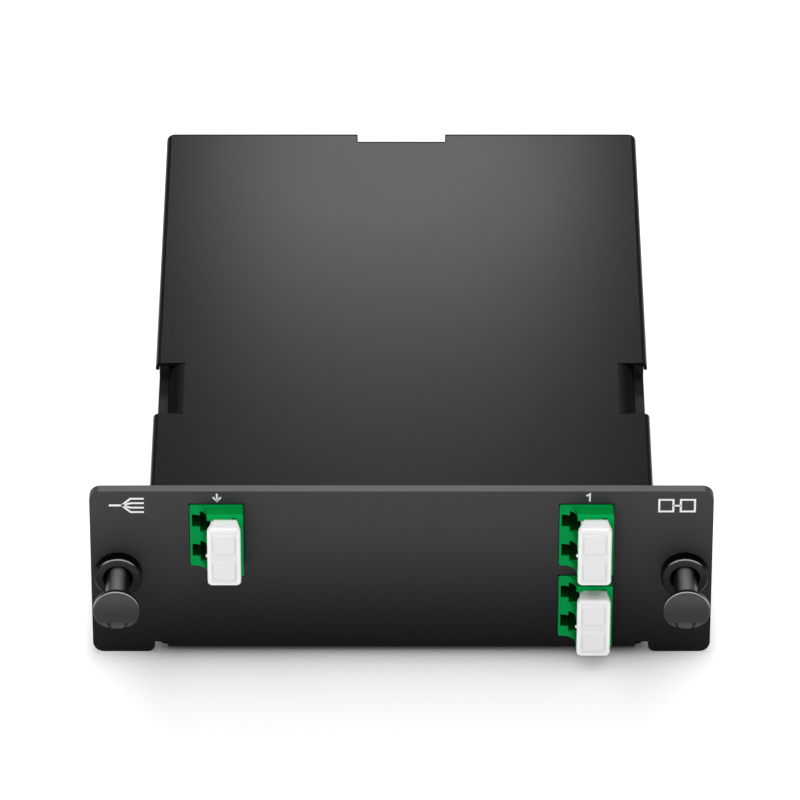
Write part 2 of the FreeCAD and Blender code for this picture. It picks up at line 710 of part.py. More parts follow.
def port_outline(sketch, middle):
    """One connector opening: a square with a latch way stepped out of its left side."""
    left, right = "(port_offset - port_side / 2)", "(port_offset + port_side / 2)"
    wide = "(port_offset - port_side / 2 - latch_wide_depth)"
    narrow = "(latch_wall - adapter_width / 2)"
    corners = [
        (narrow, "latch_narrow / 2"),
        (wide, "latch_narrow / 2"),
        (wide, "latch_wide / 2"),
        (left, "latch_wide / 2"),
        (left, "port_side / 2"),
        (f"{right} - port_notch * 1.5", "port_side / 2"),
        (f"{right} - port_notch * 1.5", "(port_side / 2 + port_notch)"),
        (right, "(port_side / 2 + port_notch)"),
    ]
    lower = [(x, f"{middle} - {z}") for x, z in corners]
    upper = [(x, f"{middle} + {z}") for x, z in reversed(corners)]
    outline(sketch, lower + upper)


def make_adapter(label, x, z):
    """A duplex adapter: two ports each side of a wall, and a sleeve holder through it."""
    body = new_body(label, x, "0", z)
    block = sketch_on(body, "XZ_Plane", f"-{TAIL}")
    half_width, half_height = "adapter_width / 2", "adapter_height / 2"
    box_outline(block, f"-{half_width}", half_width, f"-{half_height}", half_height)
    pad(body, "Block", block, "adapter_length")
    long_edges = edges_where(body.Tip, lambda c, d, n: abs(d.y) > 0.9)
    bevel_edges(body, "LongEdges", long_edges, "adapter_edge")
    collar = sketch_on(body, "XZ_Plane", "-(seat_gap + collar_depth)")
    box_outline(
        collar,
        f"-{half_width} - collar_proud",
        f"{half_width} + collar_proud",
        f"-{half_height} - collar_proud",
        f"{half_height} + collar_proud",
    )
    pad(body, "Collar", collar, "collar_depth")

    deep = f"({NOSE} + adapter_scoop)"
    start = f"(adapter_scoop_start - {half_width})"
    edge = f"(adapter_scoop_start + adapter_scoop_radius - {half_width})"
    scoop = sketch_on(body, "XY_Plane", half_height)
    outline(
        scoop,
        [
            (f"-{half_width} - 1", deep),
            (f"-{half_width} - 1", f"{NOSE} - 1"),
            (edge, f"{NOSE} - 1"),
            (edge, f"{deep} - adapter_scoop_radius"),
            (start, f"{deep} - adapter_scoop_radius"),
            (start, deep),
        ],
    )
    pocket(body, "Scoop", scoop, "adapter_height")
    curve = sketch_on(body, "XY_Plane", half_height)
    circle(curve, "adapter_scoop_radius", start, f"{deep} - adapter_scoop_radius")
    pocket(body, "ScoopCurve", curve, "adapter_height")

    for name, end, backwards in (("Front", NOSE, False), ("Rear", TAIL, True)):
        ports = sketch_on(body, "XZ_Plane", f"-{end}")
        for middle in PORTS:
            port_outline(ports, middle)
        pocket(body, f"{name}Ports", ports, "(adapter_length - mid_wall) / 2", backwards)
    holders = sketch_on(body, "XZ_Plane", f"-({MIDDLE} + holder_length / 2)")
    for middle in PORTS:
        circle(holders, "holder_radius", "port_offset", middle)
    pad(body, "SleeveHolders", holders, "holder_length")
    bores = sketch_on(body, "XZ_Plane", f"-({MIDDLE} - holder_length / 2)")
    for middle in PORTS:
        circle(bores, "sleeve_radius + sleeve_gap", "port_offset", middle)
    pocket(body, "SleeveBores", bores, "holder_length")
    return body


def make_sleeve(label, x, z):
    """A slit ceramic sleeve that lines up two ferrules."""
    body = new_body(label, f"{x} + port_offset", f"{MIDDLE} + sleeve_length / 2", z)
    ring = sketch_on(body, "XZ_Plane")
    circle(ring, "sleeve_radius")
    circle(ring, "ferrule_radius + ferrule_gap")
    pad(body, "Tube", ring, "sleeve_length")
    slit = sketch_on(body, "XZ_Plane", "sleeve_length")
    box_outline(slit, "-sleeve_slit / 2", "sleeve_slit / 2", "0", "sleeve_radius * 1.2")
    pocket(body, "Slit", slit, "sleeve_length")
    return body


def make_clip(label, x, z):
    """A sprung metal band round an adapter, behind its collar, with a flared tab each side."""
    body = new_body(label, x, "seat_gap + collar_depth + clip_start", z)
    band = sketch_on(body, "XZ_Plane", "-clip_length")
    for grow_by in ("(clip_gap + clip_sheet)", "clip_gap"):
        box_outline(
            band,
            f"-adapter_width / 2 - {grow_by}",
            f"adapter_width / 2 + {grow_by}",
            f"-adapter_height / 2 - {grow_by}",
            f"adapter_height / 2 + {grow_by}",
        )
    pad(body, "Band", band, "clip_length")
    tabs = sketch_on(body, "XY_Plane", "-clip_tab_height / 2")
    face = "(adapter_width / 2 + clip_gap + clip_sheet)"
    for side in ("", "-"):
        outline(
            tabs,
            [
                (f"{side}{face}", "clip_length * 0.75"),
                (f"{side}({face} + clip_flare)", "clip_sheet"),
                (f"{side}({face} + clip_flare - clip_sheet)", "0"),
                (f"{side}{face}", "clip_length * 0.75 - clip_sheet * 4"),
            ],
        )
    pad(body, "FlaredTabs", tabs, "clip_tab_height")
    return body


def make_cap(label, x, z):
    """A duplex dust cap: a grip plate with two square pads, and a peg for each port."""
    body = new_body(label, f"{x} + port_offset", "0", z)
    grip = sketch_on(body, "XZ_Plane", f"-{GRIP_REAR}")
    box_outline(
        grip, "-cap_width / 2", "cap_width / 2", "-cap_height / 2", "cap_height / 2"
    )
    pad(body, "Grip", grip, "cap_depth")
    corners = edges_where(body.Tip, lambda c, d, n: abs(d.y) > 0.9)
    round_edges(body, "GripCorners", corners, "cap_corner")
    front = edges_named_at(body.Tip, lambda c: near(c.y, GRIP_FRONT))
    bevel_edges(body, "GripEdge", front, "cap_edge")
    bevels = sketch_on(body, "XY_Plane", "cap_height / 2")
    for side, width in (("", "cap_bevel_right"), ("-", "cap_bevel_left")):
        outline(
            bevels,
            [
                (f"{side}(cap_width / 2 - {width})", GRIP_REAR),
                (f"{side}cap_width / 2", f"{GRIP_REAR} - cap_bevel_depth"),
                (f"{side}(cap_width / 2 + {width})", GRIP_REAR),
            ],
        )
    pocket(body, "RearBevels", bevels, "cap_height")
    pads = sketch_on(body, "XZ_Plane", f"-{GRIP_FRONT}")
    for middle in ("(cap_pad_pitch / 2)", "(-cap_pad_pitch / 2)"):
        box_outline(
            pads,
            "-cap_pad / 2",
            "cap_pad / 2",
            f"{middle} - cap_pad / 2",
            f"{middle} + cap_pad / 2",
        )
    pad(body, "Pads", pads, "cap_pad_height")
    corners = edges_where(
        body.Tip,
        lambda c, d, n: abs(d.y) > 0.9
        and near(n, "cap_pad_height", 0.001)
        and near(abs(c.x), "cap_pad / 2"),
    )
    bevel_edges(body, "PadCorners", corners, "cap_pad_corner / 2")
    bead = sketch_on(body, "XZ_Plane", f"-({GRIP_REAR} - cap_bevel_depth)")
    outline(
        bead,
        [
            ("cap_bead - cap_width / 2", "-cap_bead"),
            ("cap_bead - cap_width / 2", "cap_bead"),
            ("-cap_width / 2", "cap_bead"),
            ("-cap_bead * 0.8 - cap_width / 2", "cap_bead / 2"),
            ("-cap_bead * 0.8 - cap_width / 2", "-cap_bead / 2"),
            ("-cap_width / 2", "-cap_bead"),
        ],
    )
    pad(body, "Bead", bead, "(cap_depth - cap_bevel_depth) * 0.6")
    peg_end = f"({MIDDLE} - holder_length / 2 - peg_gap)"
    pegs = sketch_on(body, "XZ_Plane", f"-{peg_end}")
    half = "(port_side / 2 - peg_gap)"
    for middle in PORTS:
        box_outline(pegs, f"-{half}", half, f"{middle} - {half}", f"{middle} + {half}")
    pad(body, "Pegs", pegs, f"{peg_end} - {GRIP_REAR}")
    return body


def make_plug(label, x, z):
    """A connector body seen from behind the adapter, with its latch arm to the left."""
    body = new_body(label, f"{x} + port_offset", "0", z)
    nose_start = f"({MIDDLE} + mid_wall / 2 + plug_start)"
    half = "(port_side / 2 - plug_gap)"
    nose = sketch_on(body, "XZ_Plane", f"-({TAIL} + seat_gap)")
    box_outline(nose, f"-{half}", half, f"-{half}", half)
    pad(body, "Nose", nose, f"{TAIL} + seat_gap - {nose_start}")
    shell = sketch_on(body, "XZ_Plane", f"-{BOOT_START}")
    half = "(plug_body / 2)"
    box_outline(shell, f"-{half}", half, f"-{half}", half)
    pad(body, "Shell", shell, "plug_body_length - seat_gap")
    corners = edges_where(
        body.Tip, lambda c, d, n: abs(d.y) > 0.9 and near(abs(c.x), "plug_body / 2")
    )
    bevel_edges(body, "ShellCorners", corners, "plug_edge")
    arm = sketch_on(body, "XY_Plane", "-plug_latch / 2")
    face = "(port_side / 2 - plug_gap)"
    lift = "(latch_wide_depth + plug_gap)"
    root = f"({TAIL} - plug_latch_root)"
    outline(
        arm,
        [
            (f"-{face}", root),
            (f"-{face}", f"{root} + plug_latch_sheet * 2"),
            (f"-{face} - {lift} + plug_latch_sheet", f"{root} + plug_latch_rise"),
            (f"-{face} - {lift} + plug_latch_sheet", f"{TAIL} + plug_latch_reach"),
            (f"-{face} - {lift}", f"{TAIL} + plug_latch_reach"),
            (f"-{face} - {lift}", f"{root} + plug_latch_rise"),
        ],
    )
    pad(body, "LatchArm", arm, "plug_latch")
    mouth = sketch_on(body, "XZ_Plane", f"-{nose_start}")
    circle(mouth, "holder_radius + bore_gap")
    pocket(body, "HolderBore", mouth, f"{FERRULE_ROOT} - {nose_start}")
    return body


def make_ferrule(label, x, z):
    """The white ceramic pin of a connector, its tip at the middle of the adapter."""
    body = new_body(label, f"{x} + port_offset", f"{FERRULE_ROOT} - seat_gap", z)
    pin = sketch_on(body, "XZ_Plane")
    circle(pin, "ferrule_radius")
    pad(body, "Pin", pin, f"{FERRULE_ROOT} - seat_gap - {MIDDLE}")
    return body


def make_boot(label, x, z):
    """A tapered boot that carries the fibre out of a connector."""
    body = new_body(label, f"{x} + port_offset", f"{BOOT_START} + seat_gap", z)
    profile = sketch_on(body, "XY_Plane")
    outline(
        profile,
        [
            ("0", "0"),
            ("boot_radius", "0"),
            ("boot_radius", "boot_neck"),
            ("boot_tip_radius", "boot_length"),
            ("0", "boot_length"),
        ],
    )
    turn(body, "Turned", profile, "V_Axis")
    return body


def rect_tube(body, name, half_y, half_z, low_x, high_x, wall=None):
    """A rectangular bar along X, or a tube where a wall is given."""
    section = sketch_on(body, "YZ_Plane", low_x)
    box_outline(section, f"-{half_y}", half_y, f"-{half_z}", half_z)
    if wall:
        inner_y, inner_z = f"({half_y} - {wall})", f"({half_z} - {wall})"
        box_outline(section, f"-{inner_y}", inner_y, f"-{inner_z}", inner_z)
    return pad(body, name, section, f"{high_x} - ({low_x})")


def fibre_rows(count):
    """Places of fibres side by side, counted from the inside of the turn outwards."""
    return [f"((({i}) - {(count - 1) / 2}) * fibre_pitch)" for i in range(count)]


def make_splitter():
    """The splitter: steel tube, waveguide chip, an end plug each side and a foam pad."""
    tube = new_body("splitter_tube", "0", SPLITTER_Y, SPLITTER_Z)
    rect_tube(
        tube,
        "Tube",
        HALF_DEPTH,
        HALF_HEIGHT,
        "-splitter_length / 2",
        "splitter_length / 2",
        "splitter_wall",
    )
    chip = new_body("splitter_chip", "0", SPLITTER_Y, SPLITTER_Z)
    section = sketch_on(chip, "YZ_Plane", "-chip_length / 2")
    base = "(splitter_wall + seat_gap - splitter_height / 2)"
    box_outline(section, "-chip_height / 2", "chip_height / 2", base, f"{base} + chip_height")
    pad(chip, "Chip", section, "chip_length")
    for label, side, count in (("splitter_plug_in", -1, 1), ("splitter_plug_out", 1, 4)):
        plug = new_body(label, "0", SPLITTER_Y, SPLITTER_Z)
        inside = "(splitter_length / 2 - splitter_cap)"
        flange, spigot = (
            ("splitter_length / 2 + seat_gap", SPLITTER_END),
            (inside, "splitter_length / 2 + seat_gap"),
        )
        if side < 0:
            flange = (f"-{flange[1]}", f"-({flange[0]})")
            spigot = (f"-({spigot[1]})", f"-{spigot[0]}")
        rect_tube(plug, "Flange", HALF_DEPTH, HALF_HEIGHT, *flange)
        gap = "(splitter_wall + seat_gap)"
        rect_tube(plug, "Spigot", f"({HALF_DEPTH} - {gap})", f"({HALF_HEIGHT} - {gap})", *spigot)
        holes = sketch_on(plug, "YZ_Plane", SPLITTER_END if side > 0 else f"-{inside}")
        for shift in fibre_rows(count):
            circle(holes, "fibre_radius + fibre_bore_gap", shift, "0")
        pocket(plug, "FibreHoles", holes, "splitter_cap * 2")
    foam = new_body("splitter_foam", "0", SPLITTER_Y, SPLITTER_Z)
    section = sketch_on(foam, "YZ_Plane", "-splitter_length / 2")
    top = f"(-{HALF_HEIGHT} - seat_gap)"
    box_outline(section, f"-{HALF_DEPTH}", HALF_DEPTH, f"{top} - splitter_pad + 2 * seat_gap", top)
    pad(foam, "Foam", section, "splitter_length")


def make_guide(label, side, count):
    """A quarter ring that a turn of fibres runs round, standing on the floor of the case."""
    body = new_body(label, f"{side}{CENTRE_X}", CENTRE_Y, f"{FLOOR} + seat_gap")
    core = f"(fibre_turn + {fibre_rows(count)[0]} - fibre_radius - guide_gap)"
    profile = sketch_on(body, "XZ_Plane")
    outline(
        profile,
        [
            (f"{side}({core} - guide_foot)", "0"),
            (f"{side}{core}", "0"),
            (f"{side}{core}", "guide_height"),
            (f"{side}({core} - guide_wall)", "guide_height"),
            (f"{side}({core} - guide_wall)", "guide_base"),
            (f"{side}({core} - guide_foot)", "guide_base"),
        ],
    )
    feature = turn(body, "QuarterRing", profile, "V_Axis", angle="90")
    if feature.Shape.CenterOfGravity.y < 0:
        feature.Reversed = True
        settle(body, feature)
    return body


def make_comb(label, side, count):
    """A slotted block that keeps the fibres in their lanes ahead of a turn."""
    lanes = fibre_rows(count)
    body = new_body(label, f"{side}{CENTRE_X}", "0", f"{FLOOR} + seat_gap")
    depth_rear = f"({CENTRE_Y} - comb_lead)"
    block = sketch_on(body, "XY_Plane")
    low = f"(fibre_turn + {lanes[0]} - comb_slot * 1.5)"
    high = f"(fibre_turn + {lanes[-1]} + comb_slot * 1.5)"
    ends = (low, high) if side == "" else (f"-{high}", f"-{low}")
    box_outline(block, *ends, f"{depth_rear} - comb_depth", depth_rear)
    level = f"({SPLITTER_Z} - {FLOOR} - seat_gap)"
    pad(body, "Block", block, f"{level} + comb_slot")
    slots = sketch_on(body, "XY_Plane", f"{level} + comb_slot")
    for lane in lanes:
        place = f"{side}(fibre_turn + {lane})"
        box_outline(
            slots,
            f"{place} - comb_slot / 2",
            f"{place} + comb_slot / 2",
            f"{depth_rear} - comb_depth - comb_slot",
            f"{depth_rear} + comb_slot",
        )
    pocket(body, "Slots", slots, "comb_slot * 1.5")
    return body


def make_fibre(label, side, x, z, lane):
    """A jacketed fibre: from its boot's tip, down to its lane, round the turn, into the splitter.

    Between the boot and the lane it follows two equal arcs, one bent each way. For a sideways
    move D over a length L their radius is (L * L + D * D) / (4 * D).
    """
    ahead, start = FreeCAD.Vector(0, 1, 0), FreeCAD.Vector(0, 0, 0)
    radius, turn_radius = number("fibre_radius"), number(f"fibre_turn + {lane}")
    origin = (f"{x} + port_offset", f"{BOOT_END} + seat_gap * 2", z)
    place = FreeCAD.Vector(*(number(text) for text in origin))
    centre = FreeCAD.Vector(side * number(CENTRE_X), number(CENTRE_Y), number(SPLITTER_Z)) - place
    top = ahead * number("fibre_straight")
    length = number(FOOT_Y) - place.y - top.y
    foot = FreeCAD.Vector(centre.x + side * turn_radius, top.y + length, centre.z)
    aside = FreeCAD.Vector(foot.x - top.x, 0, foot.z - top.z)
    move = aside.Length
    aside.normalize()
    bend = (length**2 + move**2) / (4 * move)
    chord = (length**2 + move**2) ** 0.5
    middle = (top + foot) * 0.5
    first = top + aside * bend + (ahead * move - aside * length) * (bend / chord)
    second = middle * 2 - first
    turn_start = FreeCAD.Vector(foot.x, centre.y, foot.z)
    diagonal = FreeCAD.Vector(side, 1, 0) * (turn_radius / 2**0.5)
    turn_end = centre + ahead * turn_radius
    end_x = side * number(f"{SPLITTER_END} - fibre_entry") - place.x
    tip = FreeCAD.Vector(end_x, turn_end.y, turn_end.z)
    path = [
        Part.LineSegment(start, top).toShape(),
        Part.Arc(top, first, middle).toShape(),
        Part.Arc(middle, second, foot).toShape(),
        Part.LineSegment(foot, turn_start).toShape(),
        Part.Arc(turn_start, centre + diagonal, turn_end).toShape(),
        Part.LineSegment(turn_end, tip).toShape(),
    ]
    corners = [
        FreeCAD.Vector(radius * math.cos(angle), 0, radius * math.sin(angle))
        for angle in (math.pi * (i + 0.5) / 4 for i in range(9))
    ]
    section = Part.Face(Part.makePolygon(corners))
    fibre = doc.addObject("Part::Feature", label)
    fibre.Label = label
    fibre.Shape = Part.Wire(path).makePipe(section)
    for axis, text in zip("xyz", origin):
        fibre.setExpression(f"Placement.Base.{axis}", cell(text))
    PARTS.append(fibre)
    return fibre


# The chassis and its cover, then everything that stands in the front panel.
make_chassis()
make_cover()
make_screws()
for side, name in (("-", "left"), ("", "right")):
    make_grommet(f"grommet_{name}", side)
    make_plunger(f"plunger_{name}", side)
for name, x, z in (
    ("in", f"-{COLUMN}", UPPER),
    ("out_upper", COLUMN, UPPER),
    ("out_lower", COLUMN, LOWER),
):
    make_adapter(f"adapter_{name}", x, z)
    make_clip(f"clip_{name}", x, z)
    make_cap(f"dust_cap_{name}", x, z)
    for port, shift in zip(("low", "high"), PORTS):
        make_sleeve(f"sleeve_{name}_{port}", x, f"{z} + {shift}")

# One connector on the input adapter, and four on the output adapters.
make_splitter()
make_guide("guide_in", "-", 1)
make_guide("guide_out", "", 4)
make_comb("comb_in", "-", 1)
make_comb("comb_out", "", 4)
outputs = [(z, shift) for z in (LOWER, UPPER) for shift in PORTS]
lanes = fibre_rows(4)
lines = [("in", -1, f"-{COLUMN}", f"{UPPER} + {PORTS[1]}", fibre_rows(1)[0])]
for i, (z, shift) in enumerate(outputs):
    lines.append((f"out_{i + 1}", 1, COLUMN, f"{z} + {shift}", lanes[i]))
for name, side, x, z, lane in lines:
    make_plug(f"plug_{name}", x, z)
    make_ferrule(f"ferrule_{name}", x, z)
    make_boot(f"boot_{name}", x, z)
    make_fibre(f"fibre_{name}", side, x, z, lane)

doc.recompute()
for item in doc.Objects:
    if "Invalid" in item.State or "Error" in item.State:
        raise RuntimeError(f"{item.Name} failed: {item.State}")
os.makedirs("parts", exist_ok=True)
for item in PARTS:
    if item.Shape.isNull() or not item.Shape.isValid():
        raise RuntimeError(f"{item.Label} has no sound shape")
    item.Shape.exportStep(f"parts/{item.Label}.step")
print(len(PARTS), "pieces")
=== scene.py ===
# %% [markdown]
# # A fibre splitter cassette
# The object is a folded metal case behind a black rack panel. Green duplex adapters stand in
# the panel, white dust caps close them, and a pulled-out plunger at each end fastens the
# cassette to a rack. The solid model brings every rigid piece at its real size. This lesson
# gives those pieces their finishes, turns the round and moulded pieces anew as smooth
# surfaces, prints the marks, and lights the whole as a plain studio picture. Lengths are in
# millimetres unless a comment says otherwise, and MM turns them into the metres of the frame.

import bpy
import numpy as np
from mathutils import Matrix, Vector


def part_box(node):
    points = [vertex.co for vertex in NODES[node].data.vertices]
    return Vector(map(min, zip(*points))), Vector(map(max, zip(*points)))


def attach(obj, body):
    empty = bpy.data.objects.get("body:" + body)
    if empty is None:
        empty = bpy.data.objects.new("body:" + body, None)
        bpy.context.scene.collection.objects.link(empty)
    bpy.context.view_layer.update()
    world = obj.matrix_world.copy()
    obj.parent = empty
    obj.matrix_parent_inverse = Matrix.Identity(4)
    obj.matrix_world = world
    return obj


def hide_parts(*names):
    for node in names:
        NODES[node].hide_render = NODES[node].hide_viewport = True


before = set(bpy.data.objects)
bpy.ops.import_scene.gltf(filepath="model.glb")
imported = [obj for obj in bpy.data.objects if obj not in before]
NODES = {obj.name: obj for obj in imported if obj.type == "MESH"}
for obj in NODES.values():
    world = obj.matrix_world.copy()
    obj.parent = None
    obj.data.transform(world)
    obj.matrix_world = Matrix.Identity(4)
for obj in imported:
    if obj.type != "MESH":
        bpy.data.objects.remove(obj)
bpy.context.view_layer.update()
MM = 0.001
print(len(NODES), "pieces in the frame")

# %% [markdown]
# ## The camera
# The picture was taken from straight in front with a long lens, from 34 degrees above. The
# size of the panel in the picture and how much smaller the far end of the case looks give
# the distance: 1272 mm to the panel's top front edge. The focal length is in pixels, so the
# lens in millimetres is its share of the picture's width times the sensor's width.

# %% Placing the camera
PIXELS = 800
SENSOR = 36.0
ELEVATION = np.radians(34.0)
DISTANCE = 1272.0
FOCAL = 7300.0
BELOW_AXIS = 15.9
RIGHT_OF_AXIS = 0.26
FARTHEST_SEEN = 20000.0
PANEL_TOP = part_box("chassis")[1].z / MM
PANEL_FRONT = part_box("chassis")[0].y / MM


def place_camera():
    """The camera stands back from the panel's top edge along its own line of sight.

    Position = edge - distance * forward + drop * up, with forward = (0, cos e, -sin e) and
    up = (0, sin e, cos e) for the elevation e.
    """
    forward = np.array([0.0, np.cos(ELEVATION), -np.sin(ELEVATION)])
    up = np.array([0.0, np.sin(ELEVATION), np.cos(ELEVATION)])
    edge = np.array([-RIGHT_OF_AXIS, PANEL_FRONT, PANEL_TOP])
    place = edge - DISTANCE * forward + BELOW_AXIS * up
    data = bpy.data.cameras.new("camera")
    data.sensor_width = SENSOR
    data.lens = FOCAL / PIXELS * SENSOR
    data.clip_end = FARTHEST_SEEN * MM
    camera = bpy.data.objects.new("camera", data)
    camera.location = place * MM
    camera.rotation_euler = (np.pi / 2 - ELEVATION, 0.0, 0.0)
    bpy.context.collection.objects.link(camera)
    bpy.context.scene.camera = camera
    return place


print("camera at", place_camera().round(1), "mm")

# %% [markdown]
# ## Helpers for node trees
# Every finish below is a tree of nodes, and most trees need the same few moves: put a value
# on a socket or link one to it, do a sum, mix two colours, step smoothly from one value to
# another, and read a place on the object. Each move gets a short function, so that a finish
# reads as what it does to the surface.

# %% Writing the moves


def feed(tree, value, socket):
    """Sets a number or a colour on a socket, or links to it the socket the value comes from."""
    if isinstance(value, tuple):
        socket.default_value = (*value, 1)
    elif isinstance(value, float):
        socket.default_value = value
    else:
        tree.links.new(value, socket)


def maths(tree, operation, first, second=0.0):
    """A Math node on two values, each a number or a socket; gives its output."""
    node = tree.nodes.new("ShaderNodeMath")
    node.operation = operation
    for value, socket in zip((first, second), node.inputs):
        feed(tree, value, socket)
    return node.outputs[0]


def mixed(tree, factor, before, after, kind="RGBA"):
    """Before + (after - before) * factor, for two colours, or two numbers of kind FLOAT."""
    mix = tree.nodes.new("ShaderNodeMix")
    mix.data_type = kind
    for value, name in ((factor, "Factor"), (before, "A"), (after, "B")):
        feed(tree, value, mix.inputs[name])
    return mix.outputs["Result"]


def smooth_step(tree, value, low, high):
    """3t^2 - 2t^3 of t = (value - low) / (high - low), as a node."""
    step = tree.nodes.new("ShaderNodeMapRange")
    step.interpolation_type = "SMOOTHSTEP"
    for given, name in ((value, "Value"), (low, "From Min"), (high, "From Max")):
        feed(tree, given, step.inputs[name])
    return step.outputs["Result"]


def place_on_object(tree):
    """The X, Y and Z of the point that is being shaded, in the object's own metres."""
    place = tree.nodes.new("ShaderNodeTexCoord")
    parts = tree.nodes.new("ShaderNodeSeparateXYZ")
    feed(tree, place.outputs["Object"], parts.inputs[0])
    return {name: parts.outputs[name] for name in "XYZ"}


MOVES = (feed, maths, mixed, smooth_step, place_on_object)
print(len(MOVES), "moves:", *(move.__name__ for move in MOVES))

# %% [markdown]
# ## New materials and new groups
# A material starts with the values that are the same all over its surface, set straight on
# its shader. What changes over the surface is linked to the shader afterwards. An effect that
# several materials use is a node group, which starts with its named inputs and outputs.

# %% Starting materials and groups


def new_material(name, **sockets):
    """A material with plain values on its shader's sockets; a _ stands for a space.

    Gives the material, its tree and its shader.
    """
    material = bpy.data.materials.new(name)
    material.use_nodes = True
    shader = material.node_tree.nodes["Principled BSDF"]
    for socket, value in sockets.items():
        shader.inputs[socket.replace("_", " ")].default_value = value
    return material, material.node_tree, shader


def new_group(name, inputs, outputs):
    """An empty node group with sockets of the named kinds; gives its tree, start and end."""
    tree = bpy.data.node_groups.new(name, "ShaderNodeTree")
    for way, sockets in (("INPUT", inputs), ("OUTPUT", outputs)):
        for title, kind in sockets.items():
            tree.interface.new_socket(title, in_out=way, socket_type="NodeSocket" + kind)
    return tree, tree.nodes.new("NodeGroupInput"), tree.nodes.new("NodeGroupOutput")


print("starters:", new_material.__name__, "and", new_group.__name__)

# %% [markdown]
# ## The glowing floor and its painted shadow
# The product stands on a white floor whose glow is painted by place: behind and beside it the
# floor just burns out to white, so no shadow shows there. In front the floor's glow starts at
# the panel's foot and grows with the distance, a painted shadow that is flat and fades out over
# some twenty millimetres. The glow is one formula on Object coordinates, which gives the
# floor's emission as a grey.

# %% Making the glowing floor
FLOOR_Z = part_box("chassis")[0].z / MM
FLOOR_SIZE = 8000.0
FLOOR_GAP = 0.05
GLOW_AROUND, GLOW_AHEAD, GLOW_FADE = 0.8, 0.49, 3.0
GLOW_BEHIND, GLOW_BESIDE, GLOW_EDGE = (10.0, 32.0), (38.0, 62.0), (54.0, 58.0)
EDGE_SHARE = 0.25
FLOOR_GREY = 0.46


# The glow is painted light: it burns out the shadows behind and beside the case and paints a soft
# shadow in front of the panel.
def floor_glow_with_painted_shadow(tree):
    """Glow = around * rim + (1 - rim) * ahead * (1 - e^(-d / fade)).

    rim is the larger of a smooth step in y and of the sum of two in |x|, where the steeper
    one, at the edge, has a quarter of the whole. d is the distance in front of the panel.
    """

    def step_along(value, limits):
        return smooth_step(tree, value, limits[0] * MM, limits[1] * MM)

    place = place_on_object(tree)
    away = maths(tree, "ABSOLUTE", place["X"])
    wide = maths(tree, "MULTIPLY", step_along(away, GLOW_BESIDE), 1.0 - EDGE_SHARE)
    steep = maths(tree, "MULTIPLY", step_along(away, GLOW_EDGE), EDGE_SHARE)
    beside = maths(tree, "ADD", wide, steep)
    rim = maths(tree, "MAXIMUM", step_along(place["Y"], GLOW_BEHIND), beside)
    front = maths(tree, "MAXIMUM", maths(tree, "SUBTRACT", PANEL_FRONT * MM, place["Y"]), 0.0)
    faded = maths(tree, "EXPONENT", maths(tree, "DIVIDE", front, -GLOW_FADE * MM))
    grown = maths(tree, "MULTIPLY", maths(tree, "SUBTRACT", 1.0, faded), GLOW_AHEAD)
    rest = maths(tree, "MULTIPLY", maths(tree, "SUBTRACT", 1.0, rim), grown)
    return maths(tree, "ADD", maths(tree, "MULTIPLY", rim, GLOW_AROUND), rest)


def make_floor():
    """One flat square, a hair below the lower edge of the panel's ears."""
    half, z = FLOOR_SIZE / 2 * MM, (FLOOR_Z - FLOOR_GAP) * MM
    corners = [(-half, -half, z), (half, -half, z), (half, half, z), (-half, half, z)]
    mesh = bpy.data.meshes.new("floor")
    mesh.from_pydata(corners, [], [(0, 1, 2, 3)])
    floor = bpy.data.objects.new("floor", mesh)
    bpy.context.collection.objects.link(floor)
    material, tree, shader = new_material(
        "studio floor",
        Base_Color=(FLOOR_GREY, FLOOR_GREY, FLOOR_GREY, 1),
        Roughness=0.75,
        Specular_IOR_Level=0.2,
        Emission_Strength=1.0,
    )
    feed(tree, floor_glow_with_painted_shadow(tree), shader.inputs["Emission Color"])
    mesh.materials.append(material)


make_floor()
print("floor at", round(FLOOR_Z, 2), "mm")

# %% [markdown]
# ## The lights
# A large soft box overhead makes the soft shadow. A small one stands low and close behind the
# case: the cover mirrors it towards the camera, which gives the round sheen at its far end. A
# low one in front lifts the caps, and a small high one in front draws the thin bright lines
# on bevels that look up. A weak white world fills the rest.

# %% Placing the lights
CENTRE = (0.0, 50.0, 0.0)
UNDER_SHEEN = (0.0, 100.0, 16.0)
WORLD_LIGHT = 0.2
# Where each soft box stands, where it aims, its width and height, and its power in watts
SOFT_BOXES = {
    "overhead": ((0.0, 100.0, 1300.0), CENTRE, 1600.0, 1600.0, 20.0),
    "behind": ((0.0, 295.0, 135.0), UNDER_SHEEN, 80.0, 40.0, 0.122),
    "front": ((-300.0, -1600.0, 550.0), CENTRE, 800.0, 600.0, 7.5),
    "high": ((100.0, -700.0, 1100.0), CENTRE, 220.0, 220.0, 1.5),
}


def soft_box(name, place, aim, width, height, power):
    """A rectangular area light at a place, turned to face a point, itself unseen."""
    data = bpy.data.lights.new(name, "AREA")
    data.shape = "RECTANGLE"
    data.size, data.size_y = width * MM, height * MM
    data.energy = power
    light = bpy.data.objects.new(name, data)
    light.location = Vector(place) * MM
    light.visible_camera = False
    towards = Vector(aim) - Vector(place)
    light.rotation_euler = towards.to_track_quat("-Z", "Y").to_euler()
    bpy.context.collection.objects.link(light)


for name, values in SOFT_BOXES.items():
    soft_box(name, *values)
world = bpy.context.scene.world or bpy.data.worlds.new("world")
bpy.context.scene.world = world
world.use_nodes = True
background = world.node_tree.nodes["Background"]
background.inputs["Color"].default_value = (1, 1, 1, 1)
background.inputs["Strength"].default_value = WORLD_LIGHT
bpy.context.scene.view_settings.view_transform = "Standard"
print(len(SOFT_BOXES), "soft boxes")

# %% [markdown]
# ## Grain for painted and moulded pieces
# Powder paint and moulded plastic both have a fine grain that scatters the light a little.
# Fine noise on Object coordinates gives it, as a height for a Bump node and as a small
# change in roughness, and a coarser noise lets the colour wander. Every finish needs it, so
# it is one node group.

# %% Building the grain group
COARSE_SCALE = 60.0  # per metre
COARSE_SHARE = 0.25


